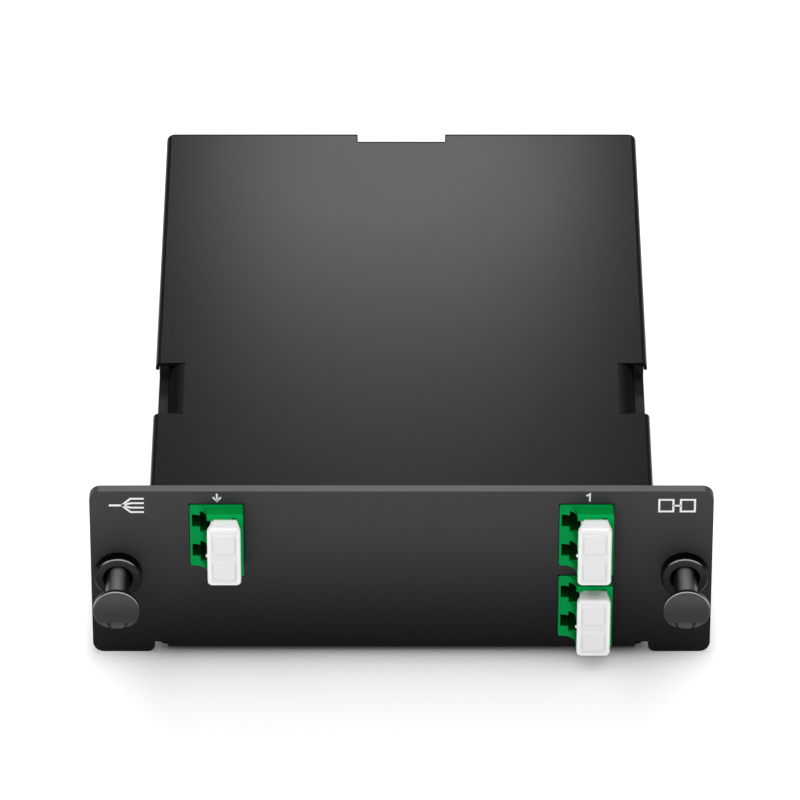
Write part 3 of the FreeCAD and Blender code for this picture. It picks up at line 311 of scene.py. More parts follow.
def make_grain_group():
    """Height = three parts of fine noise to one of coarse; it sways the roughness too.

    Roughness = given roughness + spread * (height - 0.5). The mask is the coarse noise.
    """
    tree, start, end = new_group(
        "fine grain",
        {"Grain Size": "Float", "Roughness": "Float", "Spread": "Float"},
        {"Height": "Float", "Roughness": "Float", "Mask": "Float"},
    )
    place = tree.nodes.new("ShaderNodeTexCoord").outputs["Object"]
    fine_scale = maths(tree, "DIVIDE", 1.0, start.outputs["Grain Size"])
    noises = []
    for scale, detail in ((fine_scale, 2.0), (COARSE_SCALE, 3.0)):
        noise = tree.nodes.new("ShaderNodeTexNoise")
        noise.inputs["Detail"].default_value = detail
        feed(tree, place, noise.inputs["Vector"])
        feed(tree, scale, noise.inputs["Scale"])
        noises.append(noise.outputs["Fac"])
    height = mixed(tree, COARSE_SHARE, *noises, kind="FLOAT")
    shift = maths(tree, "SUBTRACT", height, 0.5)
    spread = maths(tree, "MULTIPLY", shift, start.outputs["Spread"])
    rough = maths(tree, "ADD", spread, start.outputs["Roughness"])
    for value, name in ((height, "Height"), (rough, "Roughness"), (noises[1], "Mask")):
        feed(tree, value, end.inputs[name])
    return tree


GRAIN = make_grain_group()


def finish_with_grain(name, dark, light, roughness, spread=0.12, size=0.4, depth=0.02, **sockets):
    """A material whose colour wanders between two shades and whose surface has a fine grain.

    size is the grain's width and depth its height; sockets are plain values on the shader.
    """
    material, tree, shader = new_material(name, **sockets)
    grain = tree.nodes.new("ShaderNodeGroup")
    grain.node_tree = GRAIN
    for value, socket in ((size * MM, "Grain Size"), (roughness, "Roughness"), (spread, "Spread")):
        feed(tree, value, grain.inputs[socket])
    colour = mixed(tree, grain.outputs["Mask"], dark, light)
    feed(tree, colour, shader.inputs["Base Color"])
    feed(tree, grain.outputs["Roughness"], shader.inputs["Roughness"])
    bump = tree.nodes.new("ShaderNodeBump")
    bump.inputs["Strength"].default_value = 0.5
    bump.inputs["Distance"].default_value = depth * MM
    feed(tree, grain.outputs["Height"], bump.inputs["Height"])
    feed(tree, bump.outputs["Normal"], shader.inputs["Normal"])
    return material


print("grain group with", len(GRAIN.nodes), "nodes")

# %% [markdown]
# ## Painted shades that follow a place
# Some light and shade is painted into the colours at places on the object. The panel is painted
# darker from its upper edge to its lower one and has a painted highlight on its upper edge face.
# Painted shade makes the cover nearly black on its side tabs and along the bend at its far end.
# Painted highlights make the stems and rims of the plungers lighter, painted shade makes the
# sides of the grommets' flanges nearly black, and the front rims of the adapters are painted a
# lighter green than the painted shade of their latch ways.
#
# Each shade is one or two smooth steps along an axis, so the step is a node group: its factor
# is 3t^2 - 2t^3 of t = (value - start) / (end - start), and it leads from the colour before it
# to its own. Steps stand in a row, each on top of the one before. A step's own colour may be
# led through steps as well, which is how the panel's paint gets its shades while the case's
# paint behind it stays plain. The same steps can lead the roughness.

# %% Building the shade step
OWN = None


def make_step_group():
    """Colour = before + (after - before) * smooth step of a value from a start to an end."""
    tree, start, end = new_group(
        "shade step",
        {"Value": "Float", "Start": "Float", "End": "Float", "Before": "Color", "After": "Color"},
        {"Color": "Color"},
    )
    given = start.outputs
    step = smooth_step(tree, given["Value"], given["Start"], given["End"])
    feed(tree, mixed(tree, step, given["Before"], given["After"]), end.inputs["Color"])
    return tree


STEP = make_step_group()


def led_through(tree, places, own, colour, steps):
    """The colour after steps of (place, start, end, colour, its own steps), in mm.

    The colour OWN stands for the material's own one, from before any step.
    """
    for place, start, end, after, *inner in steps:
        step = tree.nodes.new("ShaderNodeGroup")
        step.node_tree = STEP
        after = led_through(tree, places, own, own if after is OWN else after, inner)
        for value, name in (
            (places[place], "Value"),
            (start * MM, "Start"),
            (end * MM, "End"),
            (colour, "Before"),
            (after, "After"),
        ):
            feed(tree, value, step.inputs[name])
        colour = step.outputs["Color"]
    return colour


print("shade step with", len(STEP.nodes), "nodes")

# %% [markdown]
# ## Shading a material
# A finish is mixed first and its painted shades come afterwards: whatever feeds its base colour
# or roughness becomes the start of the row of steps, and the end of the row takes its place. Most
# steps run along Y, since the pieces are seen from in front and one piece's front rim, side and
# body lie behind each other.

# %% Leading a material through shades


def shaded(material, *steps, axis_x=0.0, socket="Base Color"):
    """Leads a material's base colour or its roughness through steps along X, Y, Z or Side.

    Side is the distance across from the nearer of two axes at x and -x: ||x| - axis_x|.
    """
    tree = material.node_tree
    base = tree.nodes["Principled BSDF"].inputs[socket]
    places = place_on_object(tree)
    across = maths(tree, "SUBTRACT", maths(tree, "ABSOLUTE", places["X"]), axis_x * MM)
    places["Side"] = maths(tree, "ABSOLUTE", across)
    own = base.links[0].from_socket
    feed(tree, led_through(tree, places, own, own, steps), base)


def behind(place, start, end, colour, *inner):
    """A step along Y from one distance behind a place to another, less than 0 in front of it."""
    return ("Y", place + start, place + end, colour, *inner)


def shaded_by_attribute(material, colour):
    """Leads a material's base colour towards another by the painted shade in the mesh's attribute
    'tone'.
    """
    tree = material.node_tree
    base = tree.nodes["Principled BSDF"].inputs["Base Color"]
    painted_shade = tree.nodes.new("ShaderNodeAttribute")
    painted_shade.attribute_name = "painted_shade"
    feed(tree, mixed(tree, painted_shade.outputs["Fac"], base.links[0].from_socket, colour), base)


def grey(value):
    return (value, value, value)


print("a step behind 10 mm:", behind(10.0, 0.5, 1.0, grey(0.2)))

# %% [markdown]
# ## Black paint
# The whole case is folded from one kind of sheet in black powder paint. On the panel a painted
# shade darkens the paint from its top towards its foot, and its upper edge face has a painted
# highlight. The cover's paint is a little glossier, so that it mirrors the soft box behind. Its
# curved side tabs and the bend along its rear edge and rear notch turn away from every light,
# and a painted shade makes them nearly black, with a crisp step into it and another one out of
# it. The same steps make the paint fully rough there.

# %% Painting the case
BEND_REAR, BEND_FRONT = 1.2, 0.6
PANEL_PAINT = finish_with_grain(
    "black powder paint", grey(0.006), grey(0.010), 0.48, size=0.25, Specular_IOR_Level=0.12
)
# Painted shade and highlight: the panel's face runs from near black at its foot to dark grey at its
# top, and its upper edge face is painted a lighter grey.
FOOT_TO_TOP_SHADE = ("Z", -PANEL_TOP, PANEL_TOP, grey(0.047))
EDGE_HIGHLIGHT = ("Z", PANEL_TOP - 0.1, PANEL_TOP - 0.02, grey(0.100))
shaded(PANEL_PAINT, ("Y", BEND_REAR, BEND_FRONT, grey(0.0025), FOOT_TO_TOP_SHADE, EDGE_HIGHLIGHT))

COVER_PAINT = finish_with_grain(
    "black cover paint",
    grey(0.003),
    grey(0.005),
    0.31,
    size=0.25,
    depth=0.01,
    Specular_IOR_Level=0.1,
)
TAB_FRONT, TAB_REAR = 23.9, 39.9
TAB_START, TAB_END = 38.4, 40.6
COVER_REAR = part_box("cover")[1].y / MM
NOTCH_DEPTH, NOTCH_HALF = 3.2, 8.2
NOTCH_FRONT = COVER_REAR - NOTCH_DEPTH
# Painted shade: the base colour steps to nearly black on the side tabs, along the notch's front
# bend and along the rear bend; the roughness steps to full there.
for socket, dark in (("Base Color", grey(0.0005)), ("Roughness", grey(1.0))):
    on_tab = ("Side", TAB_START, TAB_END, dark)
    beside_notch = ("Side", NOTCH_HALF + 0.1, NOTCH_HALF + 0.25, OWN)
    shaded(
        COVER_PAINT,
        behind(TAB_FRONT, -0.05, 0.05, OWN, on_tab),
        behind(TAB_REAR, -0.05, 0.05, OWN),
        behind(NOTCH_FRONT, -0.4, -0.25, dark, beside_notch),
        behind(COVER_REAR, -1.15, -0.85, dark),
        behind(COVER_REAR, -0.15, -0.05, OWN),
        socket=socket,
    )
print("panel paint and cover paint")

# %% [markdown]
# ## Black nylon
# The plungers and grommets are moulded in black nylon, a little glossy. Their shades are
# painted: a painted highlight makes the stems lighter in the middle, and painted shade makes them
# black at both sides. Painted shade darkens the side of a head upwards, while painted highlights
# make its rounded rim and its face lighter upwards, the rim most of all, as does the rim of the
# grommet's flange, whose face is painted lighter upwards and whose side is painted nearly black.
# The guides and combs inside the case are of the same nylon without these painted shades.

# %% Mixing the nylon
HEAD_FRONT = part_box("plunger_left")[0].y / MM
STEM_X = 49.7
# The plunger's own grey is the painted highlight down the middle of the stems; the steps below
# paint the shade at their sides, the shade on the heads' sides and the highlights on their rims and
# faces.
PLUNGER = finish_with_grain(
    "plunger nylon", grey(0.15), grey(0.17), 0.3, size=0.15, depth=0.004, Specular_IOR_Level=0.25
)
STEM_SIDE_SHADE = ("Side", 0.1, 1.7, grey(0.004))
HEAD_SIDE_SHADE = behind(HEAD_FRONT, 1.15, 1.05, grey(0.03), ("Z", -1.5, 0.0, grey(0.004)))
HEAD_RIM_HIGHLIGHT = behind(HEAD_FRONT, 0.30, 0.24, grey(0.020), ("Z", 0.0, 2.4, grey(0.36)))
HEAD_FACE_SHADE = behind(HEAD_FRONT, 0.09, 0.04, grey(0.018), ("Z", -1.0, 3.4, grey(0.048)))
shaded(PLUNGER, STEM_SIDE_SHADE, HEAD_SIDE_SHADE, HEAD_RIM_HIGHLIGHT, HEAD_FACE_SHADE, axis_x=STEM_X)

FLANGE_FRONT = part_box("grommet_left")[0].y / MM
GROMMET = finish_with_grain(
    "grommet nylon", grey(0.007), grey(0.009), 0.3, size=0.15, depth=0.004, Specular_IOR_Level=0.1
)
# Painted light on the grommets: the flange's face is painted lighter upwards, its upper rim gets a
# painted highlight and its side a painted shade that is nearly black.
FLANGE_FACE_SHADE = ("Z", -1.0, 4.0, grey(0.04))
FLANGE_RIM_HIGHLIGHT = behind(FLANGE_FRONT, 0.02, 0.05, grey(0.006), ("Z", 2.4, 3.6, grey(0.35)))
FLANGE_SIDE_SHADE = behind(FLANGE_FRONT, 0.16, 0.22, grey(0.001))
shaded(GROMMET, FLANGE_FACE_SHADE, FLANGE_RIM_HIGHLIGHT, FLANGE_SIDE_SHADE)

NYLON = finish_with_grain("black nylon", grey(0.010), grey(0.016), 0.36, size=0.15, depth=0.006)
print("three kinds of nylon")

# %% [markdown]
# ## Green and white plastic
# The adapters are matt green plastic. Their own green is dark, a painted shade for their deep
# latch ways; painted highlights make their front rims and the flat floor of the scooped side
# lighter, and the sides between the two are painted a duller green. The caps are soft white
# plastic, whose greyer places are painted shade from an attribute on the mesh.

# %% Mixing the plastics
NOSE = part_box("adapter_in")[0].y / MM
SCOOP = 3.3
# The adapter's own green is dark, a painted shade for its latch ways; the steps below paint
# highlights on the scoop's floor and the front rims and a duller green on the sides.
GREEN = finish_with_grain(
    "green adapter plastic",
    (0.0, 0.060, 0.010),
    (0.0, 0.080, 0.013),
    0.38,
    size=0.2,
    depth=0.006,
    Specular_IOR_Level=0.03,
)
SCOOP_FLOOR_HIGHLIGHT = behind(NOSE + SCOOP, 0.10, 0.04, (0.0, 0.30, 0.066))
BODY_SIDE_SHADE = behind(NOSE + SCOOP, -0.10, -1.2, (0.0, 0.205, 0.034))
FRONT_RIM_HIGHLIGHT = behind(NOSE, 0.4, 0.15, (0.0, 0.36, 0.070))
shaded(GREEN, SCOOP_FLOOR_HIGHLIGHT, BODY_SIDE_SHADE, FRONT_RIM_HIGHLIGHT)

WHITE = finish_with_grain("white cap plastic", grey(0.88), grey(0.92), 0.42, size=0.2, depth=0.004)
# The caps' greyer places are painted shade, stored on their meshes.
shaded_by_attribute(WHITE, grey(0.30))
print("green and white plastic")

# %% [markdown]
# ## The finishes inside
# Inside the case are ceramic sleeves and ferrules, a steel splitter tube with a glass chip on
# a foam pad, rubber boots and yellow jackets. They have the same grain at their own scale.

# %% Mixing the rest
CERAMIC = finish_with_grain(
    "zirconia ceramic", (0.80, 0.79, 0.75), (0.86, 0.85, 0.82), 0.2, size=0.1, depth=0.002
)
STEEL = finish_with_grain(
    "bright steel", (0.50, 0.50, 0.51), (0.60, 0.60, 0.61), 0.3, size=0.3, depth=0.006, Metallic=1.0
)
RUBBER = finish_with_grain("black rubber", grey(0.015), grey(0.022), 0.7, size=0.3)
BOOT = finish_with_grain(
    "green boot rubber", (0.0, 0.18, 0.06), (0.01, 0.22, 0.08), 0.6, size=0.3
)
JACKET = finish_with_grain(
    "yellow jacket", (0.70, 0.47, 0.03), (0.78, 0.53, 0.05), 0.45, size=0.2, depth=0.004
)
GLASS = finish_with_grain(
    "chip glass", (0.72, 0.80, 0.82), (0.78, 0.85, 0.87), 0.1, size=0.3, depth=0.002
)
FOAM = finish_with_grain("foam", grey(0.03), grey(0.05), 0.9, size=0.5, depth=0.1)
INK = finish_with_grain("white ink", grey(0.80), grey(0.86), 0.5, size=0.15, depth=0.003)
print(len(bpy.data.materials), "materials")

# %% [markdown]
# ## Dressing every piece
# Pieces of one kind share the start of their names, as all the fibres do. So a piece finds
# its finish by the longest name in the list that its own name starts with.

# %% Dressing every piece
FINISHES = {
    "chassis": PANEL_PAINT,
    "cover": COVER_PAINT,
    "cover_screws": STEEL,
    "grommet": GROMMET,
    "plunger": PLUNGER,
    "adapter": GREEN,
    "clip": STEEL,
    "dust_cap": WHITE,
    "sleeve": CERAMIC,
    "ferrule": CERAMIC,
    "splitter_plug": RUBBER,
    "splitter_tube": STEEL,
    "splitter_chip": GLASS,
    "splitter_foam": FOAM,
    "plug": GREEN,
    "boot": BOOT,
    "fibre": JACKET,
    "guide": NYLON,
    "comb": NYLON,
}


def finish_for(node):
    """The finish of the longest name that the node's name starts with."""
    stems = [stem for stem in FINISHES if node.startswith(stem)]
    return FINISHES[max(stems, key=len)]


for node, solid in NODES.items():
    for slot in solid.material_slots:
        slot.material = finish_for(node)
print(len(FINISHES), "finishes on", len(NODES), "pieces")

# %% [markdown]
# ## Surfaces from grids
# Every piece below is a grid of points: one direction runs along a profile, the other round
# it. A grid becomes a closed skin by joining neighbours with four-sided faces and by closing
# each end with a fan round one pole. The signed volume tells which way the faces look:
#
# volume = sum over triangles of a . (b x c) / 6, which is positive when they look outwards.
#
# Neighbouring faces that meet at more than SHARP degrees keep a crisp edge between them.

# %% Turning a grid into a closed skin
SHARP = 35.0


def faces_of(rows, count):
    """Quads of a wrapped grid of rows by count points, and fans to two poles after them."""
    row = np.arange(rows - 1)[:, None] * count
    here = np.arange(count)
    there = (here + 1) % count
    quads = np.stack([row + here, row + there, row + count + there, row + count + here], -1)
    pole = rows * count
    last = pole - count
    low_fan = np.stack([np.full(count, pole), there, here], -1)
    high_fan = np.stack([np.full(count, pole + 1), last + here, last + there], -1)
    return quads.reshape(-1, 4), np.concatenate([low_fan, high_fan])


def volume_of(points, quads, fans):
    """Signed volume inside the skin: the sum of a . (b x c) / 6 over its triangles."""
    halves = np.concatenate([quads[:, [0, 1, 2]], quads[:, [0, 2, 3]], fans])
    a, b, c = (points[halves[:, i]] for i in range(3))
    return np.einsum("ij,ij->i", a, np.cross(b, c)).sum() / 6


def skin(name, grids, body, material, painted_shade=None):
    """One object from closed skins, each a grid of rows by count by 3.

    tone gives every point a value for the attribute of that name, from its place, as painted shade.
    """
    points, quads, fans = [], [], []
    total = 0
    for grid in grids:
        poles = np.stack([grid[0].mean(axis=0), grid[-1].mean(axis=0)])
        own = np.concatenate([grid.reshape(-1, 3), poles])
        own_quads, own_fans = faces_of(*grid.shape[:2])
        if volume_of(own, own_quads, own_fans) < 0:
            own_quads, own_fans = own_quads[:, ::-1], own_fans[:, ::-1]
        points.append(own)
        quads.append(own_quads + total)
        fans.append(own_fans + total)
        total += len(own)
    points = np.concatenate(points) * MM
    faces = np.concatenate(quads).tolist() + np.concatenate(fans).tolist()
    mesh = bpy.data.meshes.new(name)
    mesh.from_pydata(points.tolist(), [], faces)
    mesh.polygons.foreach_set("use_smooth", np.ones(len(faces), dtype=bool))
    mesh.set_sharp_from_angle(angle=np.radians(SHARP))
    if painted_shade:
        values = painted_shade(points / MM).astype(np.float32)
        mesh.attributes.new("painted_shade", "FLOAT", "POINT").data.foreach_set("value", values)
    mesh.materials.append(material)
    piece = bpy.data.objects.new(name, mesh)
    bpy.context.collection.objects.link(piece)
    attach(piece, body)
    print(name, len(points), "points,", len(faces), "faces")
    return piece


print("skins have crisp edges from", SHARP, "degrees")

# %% [markdown]
# ## Rounded corners and soft slopes
# Moulded pieces have no truly sharp corner. A profile's corner is replaced by a short curve
# between its two sides, and a step in a surface by a soft slope, which starts and ends level.

# %% Easing corners and steps


def rounded(corners, radii, steps=5):
    """A profile whose corners are eased by the curve (1-t)^2 A + 2t(1-t) P + t^2 B.

    A and B lie a radius away from the corner P, along the sides that meet in it.
    """
    corners = np.array(corners, dtype=float)
    t = np.linspace(0.0, 1.0, steps)[:, None]
    parts = [corners[:1]]
    for before, corner, after, radius in zip(corners, corners[1:], corners[2:], radii):
        to_a, to_b = before - corner, after - corner
        a = corner + to_a / np.linalg.norm(to_a) * radius
        b = corner + to_b / np.linalg.norm(to_b) * radius
        parts.append((1 - t) ** 2 * a + 2 * t * (1 - t) * corner + t**2 * b)
    parts.append(corners[-1:])
    return np.concatenate(parts)


def soft_slope(low, high, value):
    """3t^2 - 2t^3 of t = (value - low) / (high - low), held between 0 and 1."""
    t = np.clip((value - low) / (high - low), 0.0, 1.0)
    return t * t * (3.0 - 2.0 * t)


def box_of(node):
    """The lowest and the highest corner of a piece of the solid model, as arrays."""
    return (np.array(corner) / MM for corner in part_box(node))


print("soft slope from 0 to 1:", soft_slope(0.0, 1.0, np.linspace(0.0, 1.0, 5)).round(2))

# %% [markdown]
# ## The plungers
# A plunger is a profile turned round its axis. Its head has a face with a slope cut off the
# lower part, where two narrow slots leave a thumb tab. Both are heights pushed into the front
# of the turned grid, so the points are packed more closely towards the bottom of the head:
#
# w = s - 0.6 sin(pi s) / pi, and the angle is -90 + 180 w degrees, for s from -1 to 1.

# %% Drawing the plunger's profile
HEAD_THICK, HEAD_EDGE = 1.1, 0.35
STEM_RADIUS, TIP_SLOPE = 2.04, 0.5
EASE_FRONT, EASE_BACK, EASE_STEM, EASE_TIP = 0.28, 0.18, 0.25, 0.15
NEAR_AXIS = 0.05
FACE_RINGS = 34


def plunger_profile(front, tip, head):
    """Radius and depth along a plunger: its face, its rim and stem, and its tip.

    The face has closely spaced rings of points, so that the slots come out crisp.
    """
    back, stem = front + HEAD_THICK, STEM_RADIUS
    radii = np.linspace(NEAR_AXIS, head - HEAD_EDGE, FACE_RINGS)
    face = np.stack([radii, np.full(FACE_RINGS, front)], -1)
    rim = rounded(
        [(head - 0.3, front), (head, front), (head, back), (stem, back), (stem, back + 2)],
        [EASE_FRONT, EASE_BACK, EASE_STEM],
    )
    end = rounded(
        [(stem, tip - 2), (stem, tip - TIP_SLOPE), (stem - TIP_SLOPE, tip), (NEAR_AXIS, tip)],
        [EASE_TIP, EASE_TIP],
    )
    return np.concatenate([face, rim, end])


print("head", HEAD_THICK, "mm thick on a stem of", 2 * STEM_RADIUS, "mm")

# %% [markdown]
# ## Turning the profile
# The slope starts at a chord below the middle of the head and deepens evenly to the edge. The
# two slots stand on that slope and lean towards each other. Slope and slots only push points
# of the head backwards, never forwards, so each is the larger of two depths. The two
# plungers are mirror images, because the slots are not the same distance from the middle.

# %% Turning the plungers
HEAD_CHORD, HEAD_SLOPE = 2.35, 0.6
SLOT_WIDTH, SLOT_START, SLOT_LEAN = 0.42, 2.5, 0.3
SLOT_OUTER, SLOT_INNER = 1.35, 1.75
SLOT_FLOOR, SLOT_SOFT = 0.25, 0.05
PACKING = 0.6


def plunger_grid(node, side, around=420):
    """Point = (x + r cos a, y, z + r sin a), with the front pushed back by slope and slots."""
    low, high = box_of(node)
    centre_x, centre_z = (low[0] + high[0]) / 2, (low[2] + high[2]) / 2
    front, tip, head = low[1], high[1], (high[0] - low[0]) / 2
    back = front + HEAD_THICK
    profile = plunger_profile(front, tip, head)
    s = np.linspace(-1.0, 1.0, around, endpoint=False)
    angle = -np.pi / 2 + np.pi * (s - PACKING * np.sin(np.pi * s) / np.pi)
    radius, along = profile[:, 0][:, None], profile[:, 1][:, None] + 0 * angle
    across, up = radius * np.cos(angle), radius * np.sin(angle)
    on_head = along < back - 0.02
    sloped = front + HEAD_SLOPE * (-up - HEAD_CHORD) / (head - HEAD_CHORD)
    along = np.where(on_head, np.maximum(along, sloped), along)
    half = SLOT_WIDTH / 2
    for towards, top in ((side, SLOT_OUTER), (-side, SLOT_INNER)):
        middle = towards * (top - SLOT_LEAN * (-up - SLOT_START) / (head - SLOT_START))
        inside = soft_slope(half + SLOT_SOFT, half - SLOT_SOFT, np.abs(across - middle))
        inside = inside * soft_slope(SLOT_START - SLOT_SOFT, SLOT_START + SLOT_SOFT, -up)
        pushed = along + inside * (back - SLOT_FLOOR - along)
        along = np.where(on_head, np.maximum(along, pushed), along)
    return np.stack([centre_x + across, along, centre_z + up], -1)


for side, name in ((-1, "plunger_left"), (1, "plunger_right")):
    plunger = skin(name + "_smooth", [plunger_grid(name, side)], name, PLUNGER)
    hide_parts(name)

# %% [markdown]
# ## Outlines of the caps
# Grips and pegs are bars with rounded long edges, so both start from a rectangle with
# quarter-circle corners. A grip's outline is spaced evenly as well, because its front face is
# made of the same outline shrunk step by step, and the pads need points all over it.

# %% Drawing the outlines
def rounded_rectangle(low_x, high_x, half_z, corner, around):
    """Points round a rectangle with quarter-circle corners, from its four arc centres."""
    quarter = np.linspace(0.0, np.pi / 2, around // 4)
    right, left, top = high_x - corner, low_x + corner, half_z - corner
    arcs = []
    for turn, (cx, cz) in enumerate([(right, top), (left, top), (left, -top), (right, -top)]):
        angle = quarter + turn * np.pi / 2
        arcs.append(np.stack([cx + corner * np.cos(angle), cz + corner * np.sin(angle)], -1))
    return np.concatenate(arcs)


def even_outline(points, around):
    """The same closed outline with its points evenly spaced along it."""
    closed = np.concatenate([points, points[:1]])
    steps = np.linalg.norm(np.diff(closed, axis=0), axis=1)
    length = np.concatenate([[0.0], np.cumsum(steps)])
    wanted = np.linspace(0.0, length[-1], around, endpoint=False)
    return np.stack([np.interp(wanted, length, closed[:, i]) for i in range(2)], -1)


print("a square's outline:", rounded_rectangle(-1.0, 1.0, 1.0, 0.2, 32).shape[0], "points")

# %% [markdown]
# ## The dust caps
# A cap's grip is a rounded rectangle whose half width changes with depth. Behind, both side
# bevels narrow it, the left one more, and its corners grow sharper. In front a quarter circle
# rounds its edge. Two square pads rise out of the front face as soft slopes.

# %% Shaping the grip
BEVEL_LEFT, BEVEL_RIGHT, BEVEL_DEPTH = 1.0, 0.65, 2.1
CORNER_REAR, CORNER_FRONT, EDGE = 0.25, 0.8, 0.4
PAD_HALF, PAD_PITCH, PAD_RISE = 2.0, 5.6, 0.22
PAD_CORE = PAD_HALF - 0.6
PAD_FOOT, PAD_TOP = 0.80, 0.38
GRIP_HALF_X, GRIP_HALF_Z = 2.93, 5.98
BEVEL_DEPTHS = (0.0, 0.3, 0.6, 0.93)
EDGE_ROWS, FACE_ROWS = 9, 80


def pad_height(x, z):
    """Share of the pads' height: 1 on a pad, 0 off it, and a soft slope round its core.

    The distance from the core square is hypot(dx, dz) outside it, with dx and dz at least 0.
    """
    share = 0.0
    for middle in (PAD_PITCH / 2, -PAD_PITCH / 2):
        dx = np.abs(x) - PAD_CORE
        dz = np.abs(z - middle) - PAD_CORE
        outside = np.hypot(np.maximum(dx, 0), np.maximum(dz, 0))
        outside = outside + np.minimum(np.maximum(dx, dz), 0)
        share = np.maximum(share, soft_slope(PAD_FOOT, PAD_TOP, outside))
    return share


def grip_grid(front, rear, x0, z0, around=360):
    """Sections from the rear to the front edge, then rings that shrink to the middle."""
    rows = []
    for depth in BEVEL_DEPTHS:
        y, corner = rear - BEVEL_DEPTH * depth, CORNER_REAR + (CORNER_FRONT - CORNER_REAR) * depth
        rows.append((y, BEVEL_LEFT * (1 - depth), BEVEL_RIGHT * (1 - depth), 0.0, corner))
    rows.append((rear - BEVEL_DEPTH - 0.1, 0.0, 0.0, 0.0, CORNER_FRONT))
    for turn in np.linspace(0.0, np.pi / 2, EDGE_ROWS):
        inset = EDGE * (1 - np.cos(turn))
        rows.append((front + EDGE * (1 - np.sin(turn)), inset, inset, inset, CORNER_FRONT))
    grid = []
    for y, left, right, inset, corner in rows:
        low_x, high_x = left - GRIP_HALF_X, GRIP_HALF_X - right
        outline = rounded_rectangle(low_x, high_x, GRIP_HALF_Z - inset, corner, 80)
        outline = even_outline(outline, around)
        grid.append(np.column_stack([outline[:, 0], np.full(around, y), outline[:, 1]]))
    rim = grid[-1]
    for share in np.linspace(0.02, 0.99, FACE_ROWS):
        ring = rim * (1 - share)
        ring[:, 1] = front - PAD_RISE * pad_height(ring[:, 0], ring[:, 2])
        grid.append(ring)
    return np.array(grid) + np.array([x0, 0.0, z0])


print("grip", 2 * GRIP_HALF_X, "by", 2 * GRIP_HALF_Z, "mm")

# %% [markdown]
# ## Painted shade on the caps
# The face of a white cap is painted greyer than its rim, so that the rim looks as if it catches
# the light all round. The slopes beside and below the pads, the upper side and the bevelled part
# behind are painted greyer too, as shade. This painted shade is worked out for every point from
# its place and stored on the mesh as an attribute, which the caps' material reads.

# %% Painting shade on the grip
FACE_SHADE, SLOPE_SHADE, REAR_SHADE, UPPER_SHADE = 0.215, 0.20, 0.32, 0.16


def grip_painted_shade(points, front, rear, x0, z0):
    """Painted shade = face + slope on the front face, the larger of rear and upper elsewhere.

    The slope's share is 4 h (1 - h) for the pad's height h, so it is most halfway up.
    """
    x, y, z = points[:, 0] - x0, points[:, 1], points[:, 2] - z0
    inside = np.maximum(np.abs(x) - GRIP_HALF_X, np.abs(z) - GRIP_HALF_Z)
    on_face = soft_slope(-0.35, -0.75, inside) * soft_slope(front + 0.3, front + 0.1, y)
    share = pad_height(x, z)
    from_pad = z - PAD_PITCH / 2 * np.sign(z)
    lower = soft_slope(PAD_HALF - 0.1, PAD_HALF - 0.8, from_pad)
    slope = SLOPE_SHADE * 4 * share * (1 - share) * lower
    behind_rim = soft_slope(front + 0.2, front + 1.0, y) * soft_slope(rear + 2.5, rear, y)
    on_top = soft_slope(GRIP_HALF_Z - 0.8, GRIP_HALF_Z - 0.3, z) * (1 - on_face)
    return on_face * (FACE_SHADE + slope) + np.maximum(REAR_SHADE * behind_rim, UPPER_SHADE * on_top)


print("tones from", UPPER_SHADE, "to", REAR_SHADE)

# %% [markdown]
# ## Pegs and beads
# Two rounded square pegs fill the ports behind each grip, and a small moulded bead stands on
# its left side. The grip sits a little off its ports, as a loosely pushed cap does.

# %% Making the dust caps
PORT_PITCH, PEG_HALF, PEG_LENGTH, PEG_ROOT = 6.25, 2.18, 8.3, 0.5
PORT_FROM_RIGHT, FACE_FROM_PADS = 2.95, 0.2
SHIFT_X, SHIFT_Z = 0.18, -0.36
BEAD_X, BEAD_Z, BEAD_Y, BEAD_FROM_REAR = 0.3, 0.34, 0.3, 2.4


def peg_grid(x0, z0, low_y, high_y, corner=0.25, around=32):
    """A square bar along Y with rounded long edges and eased ends."""
    rows = []
    for y, inset in ((low_y, 0.0), (high_y - 0.2, 0.0), (high_y - 0.06, 0.06), (high_y, 0.2)):
        half = PEG_HALF - inset
        outline = rounded_rectangle(-half, half, half, corner, around)
        rows.append(np.column_stack([outline[:, 0], np.full(around, y), outline[:, 1]]))
    return np.array(rows) + np.array([x0, 0.0, z0])


def bead_grid(x0, y0, z0, around=24, rows=12):
    """A small flattened ball: (a cos u cos v, b sin v, c sin u cos v) from pole to pole."""
    v = np.linspace(-np.pi / 2 + 0.05, np.pi / 2 - 0.05, rows)[:, None]
    u = np.linspace(0.0, 2 * np.pi, around, endpoint=False)
    x, z = BEAD_X * np.cos(u) * np.cos(v), BEAD_Z * np.sin(u) * np.cos(v)
    return np.stack([x0 + x, y0 + BEAD_Y * np.sin(v) + 0 * u, z0 + z], -1)


def make_cap(node):
    """One cap: a grip, two pegs and a bead with painted shade, in the place of the solid one."""
    low, high = box_of(node)
    front, rear = low[1] + FACE_FROM_PADS, high[1] - PEG_LENGTH
    port_x, port_z = high[0] - PORT_FROM_RIGHT, (low[2] + high[2]) / 2
    x0, z0 = port_x + SHIFT_X, port_z + SHIFT_Z
    shapes = [grip_grid(front, rear, x0, z0)]
    for middle in (PORT_PITCH / 2, -PORT_PITCH / 2):
        shapes.append(peg_grid(port_x, port_z + middle, rear - PEG_ROOT, high[1]))
    shapes.append(bead_grid(x0 - GRIP_HALF_X, rear - BEAD_FROM_REAR, z0))

    def painted_shade(points):
        return grip_painted_shade(points, front, rear, x0, z0)

    cap = skin(node + "_smooth", shapes, node, WHITE, painted_shade=painted_shade)
    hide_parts(node)


for node in ("dust_cap_in", "dust_cap_out_upper", "dust_cap_out_lower"):
    make_cap(node)

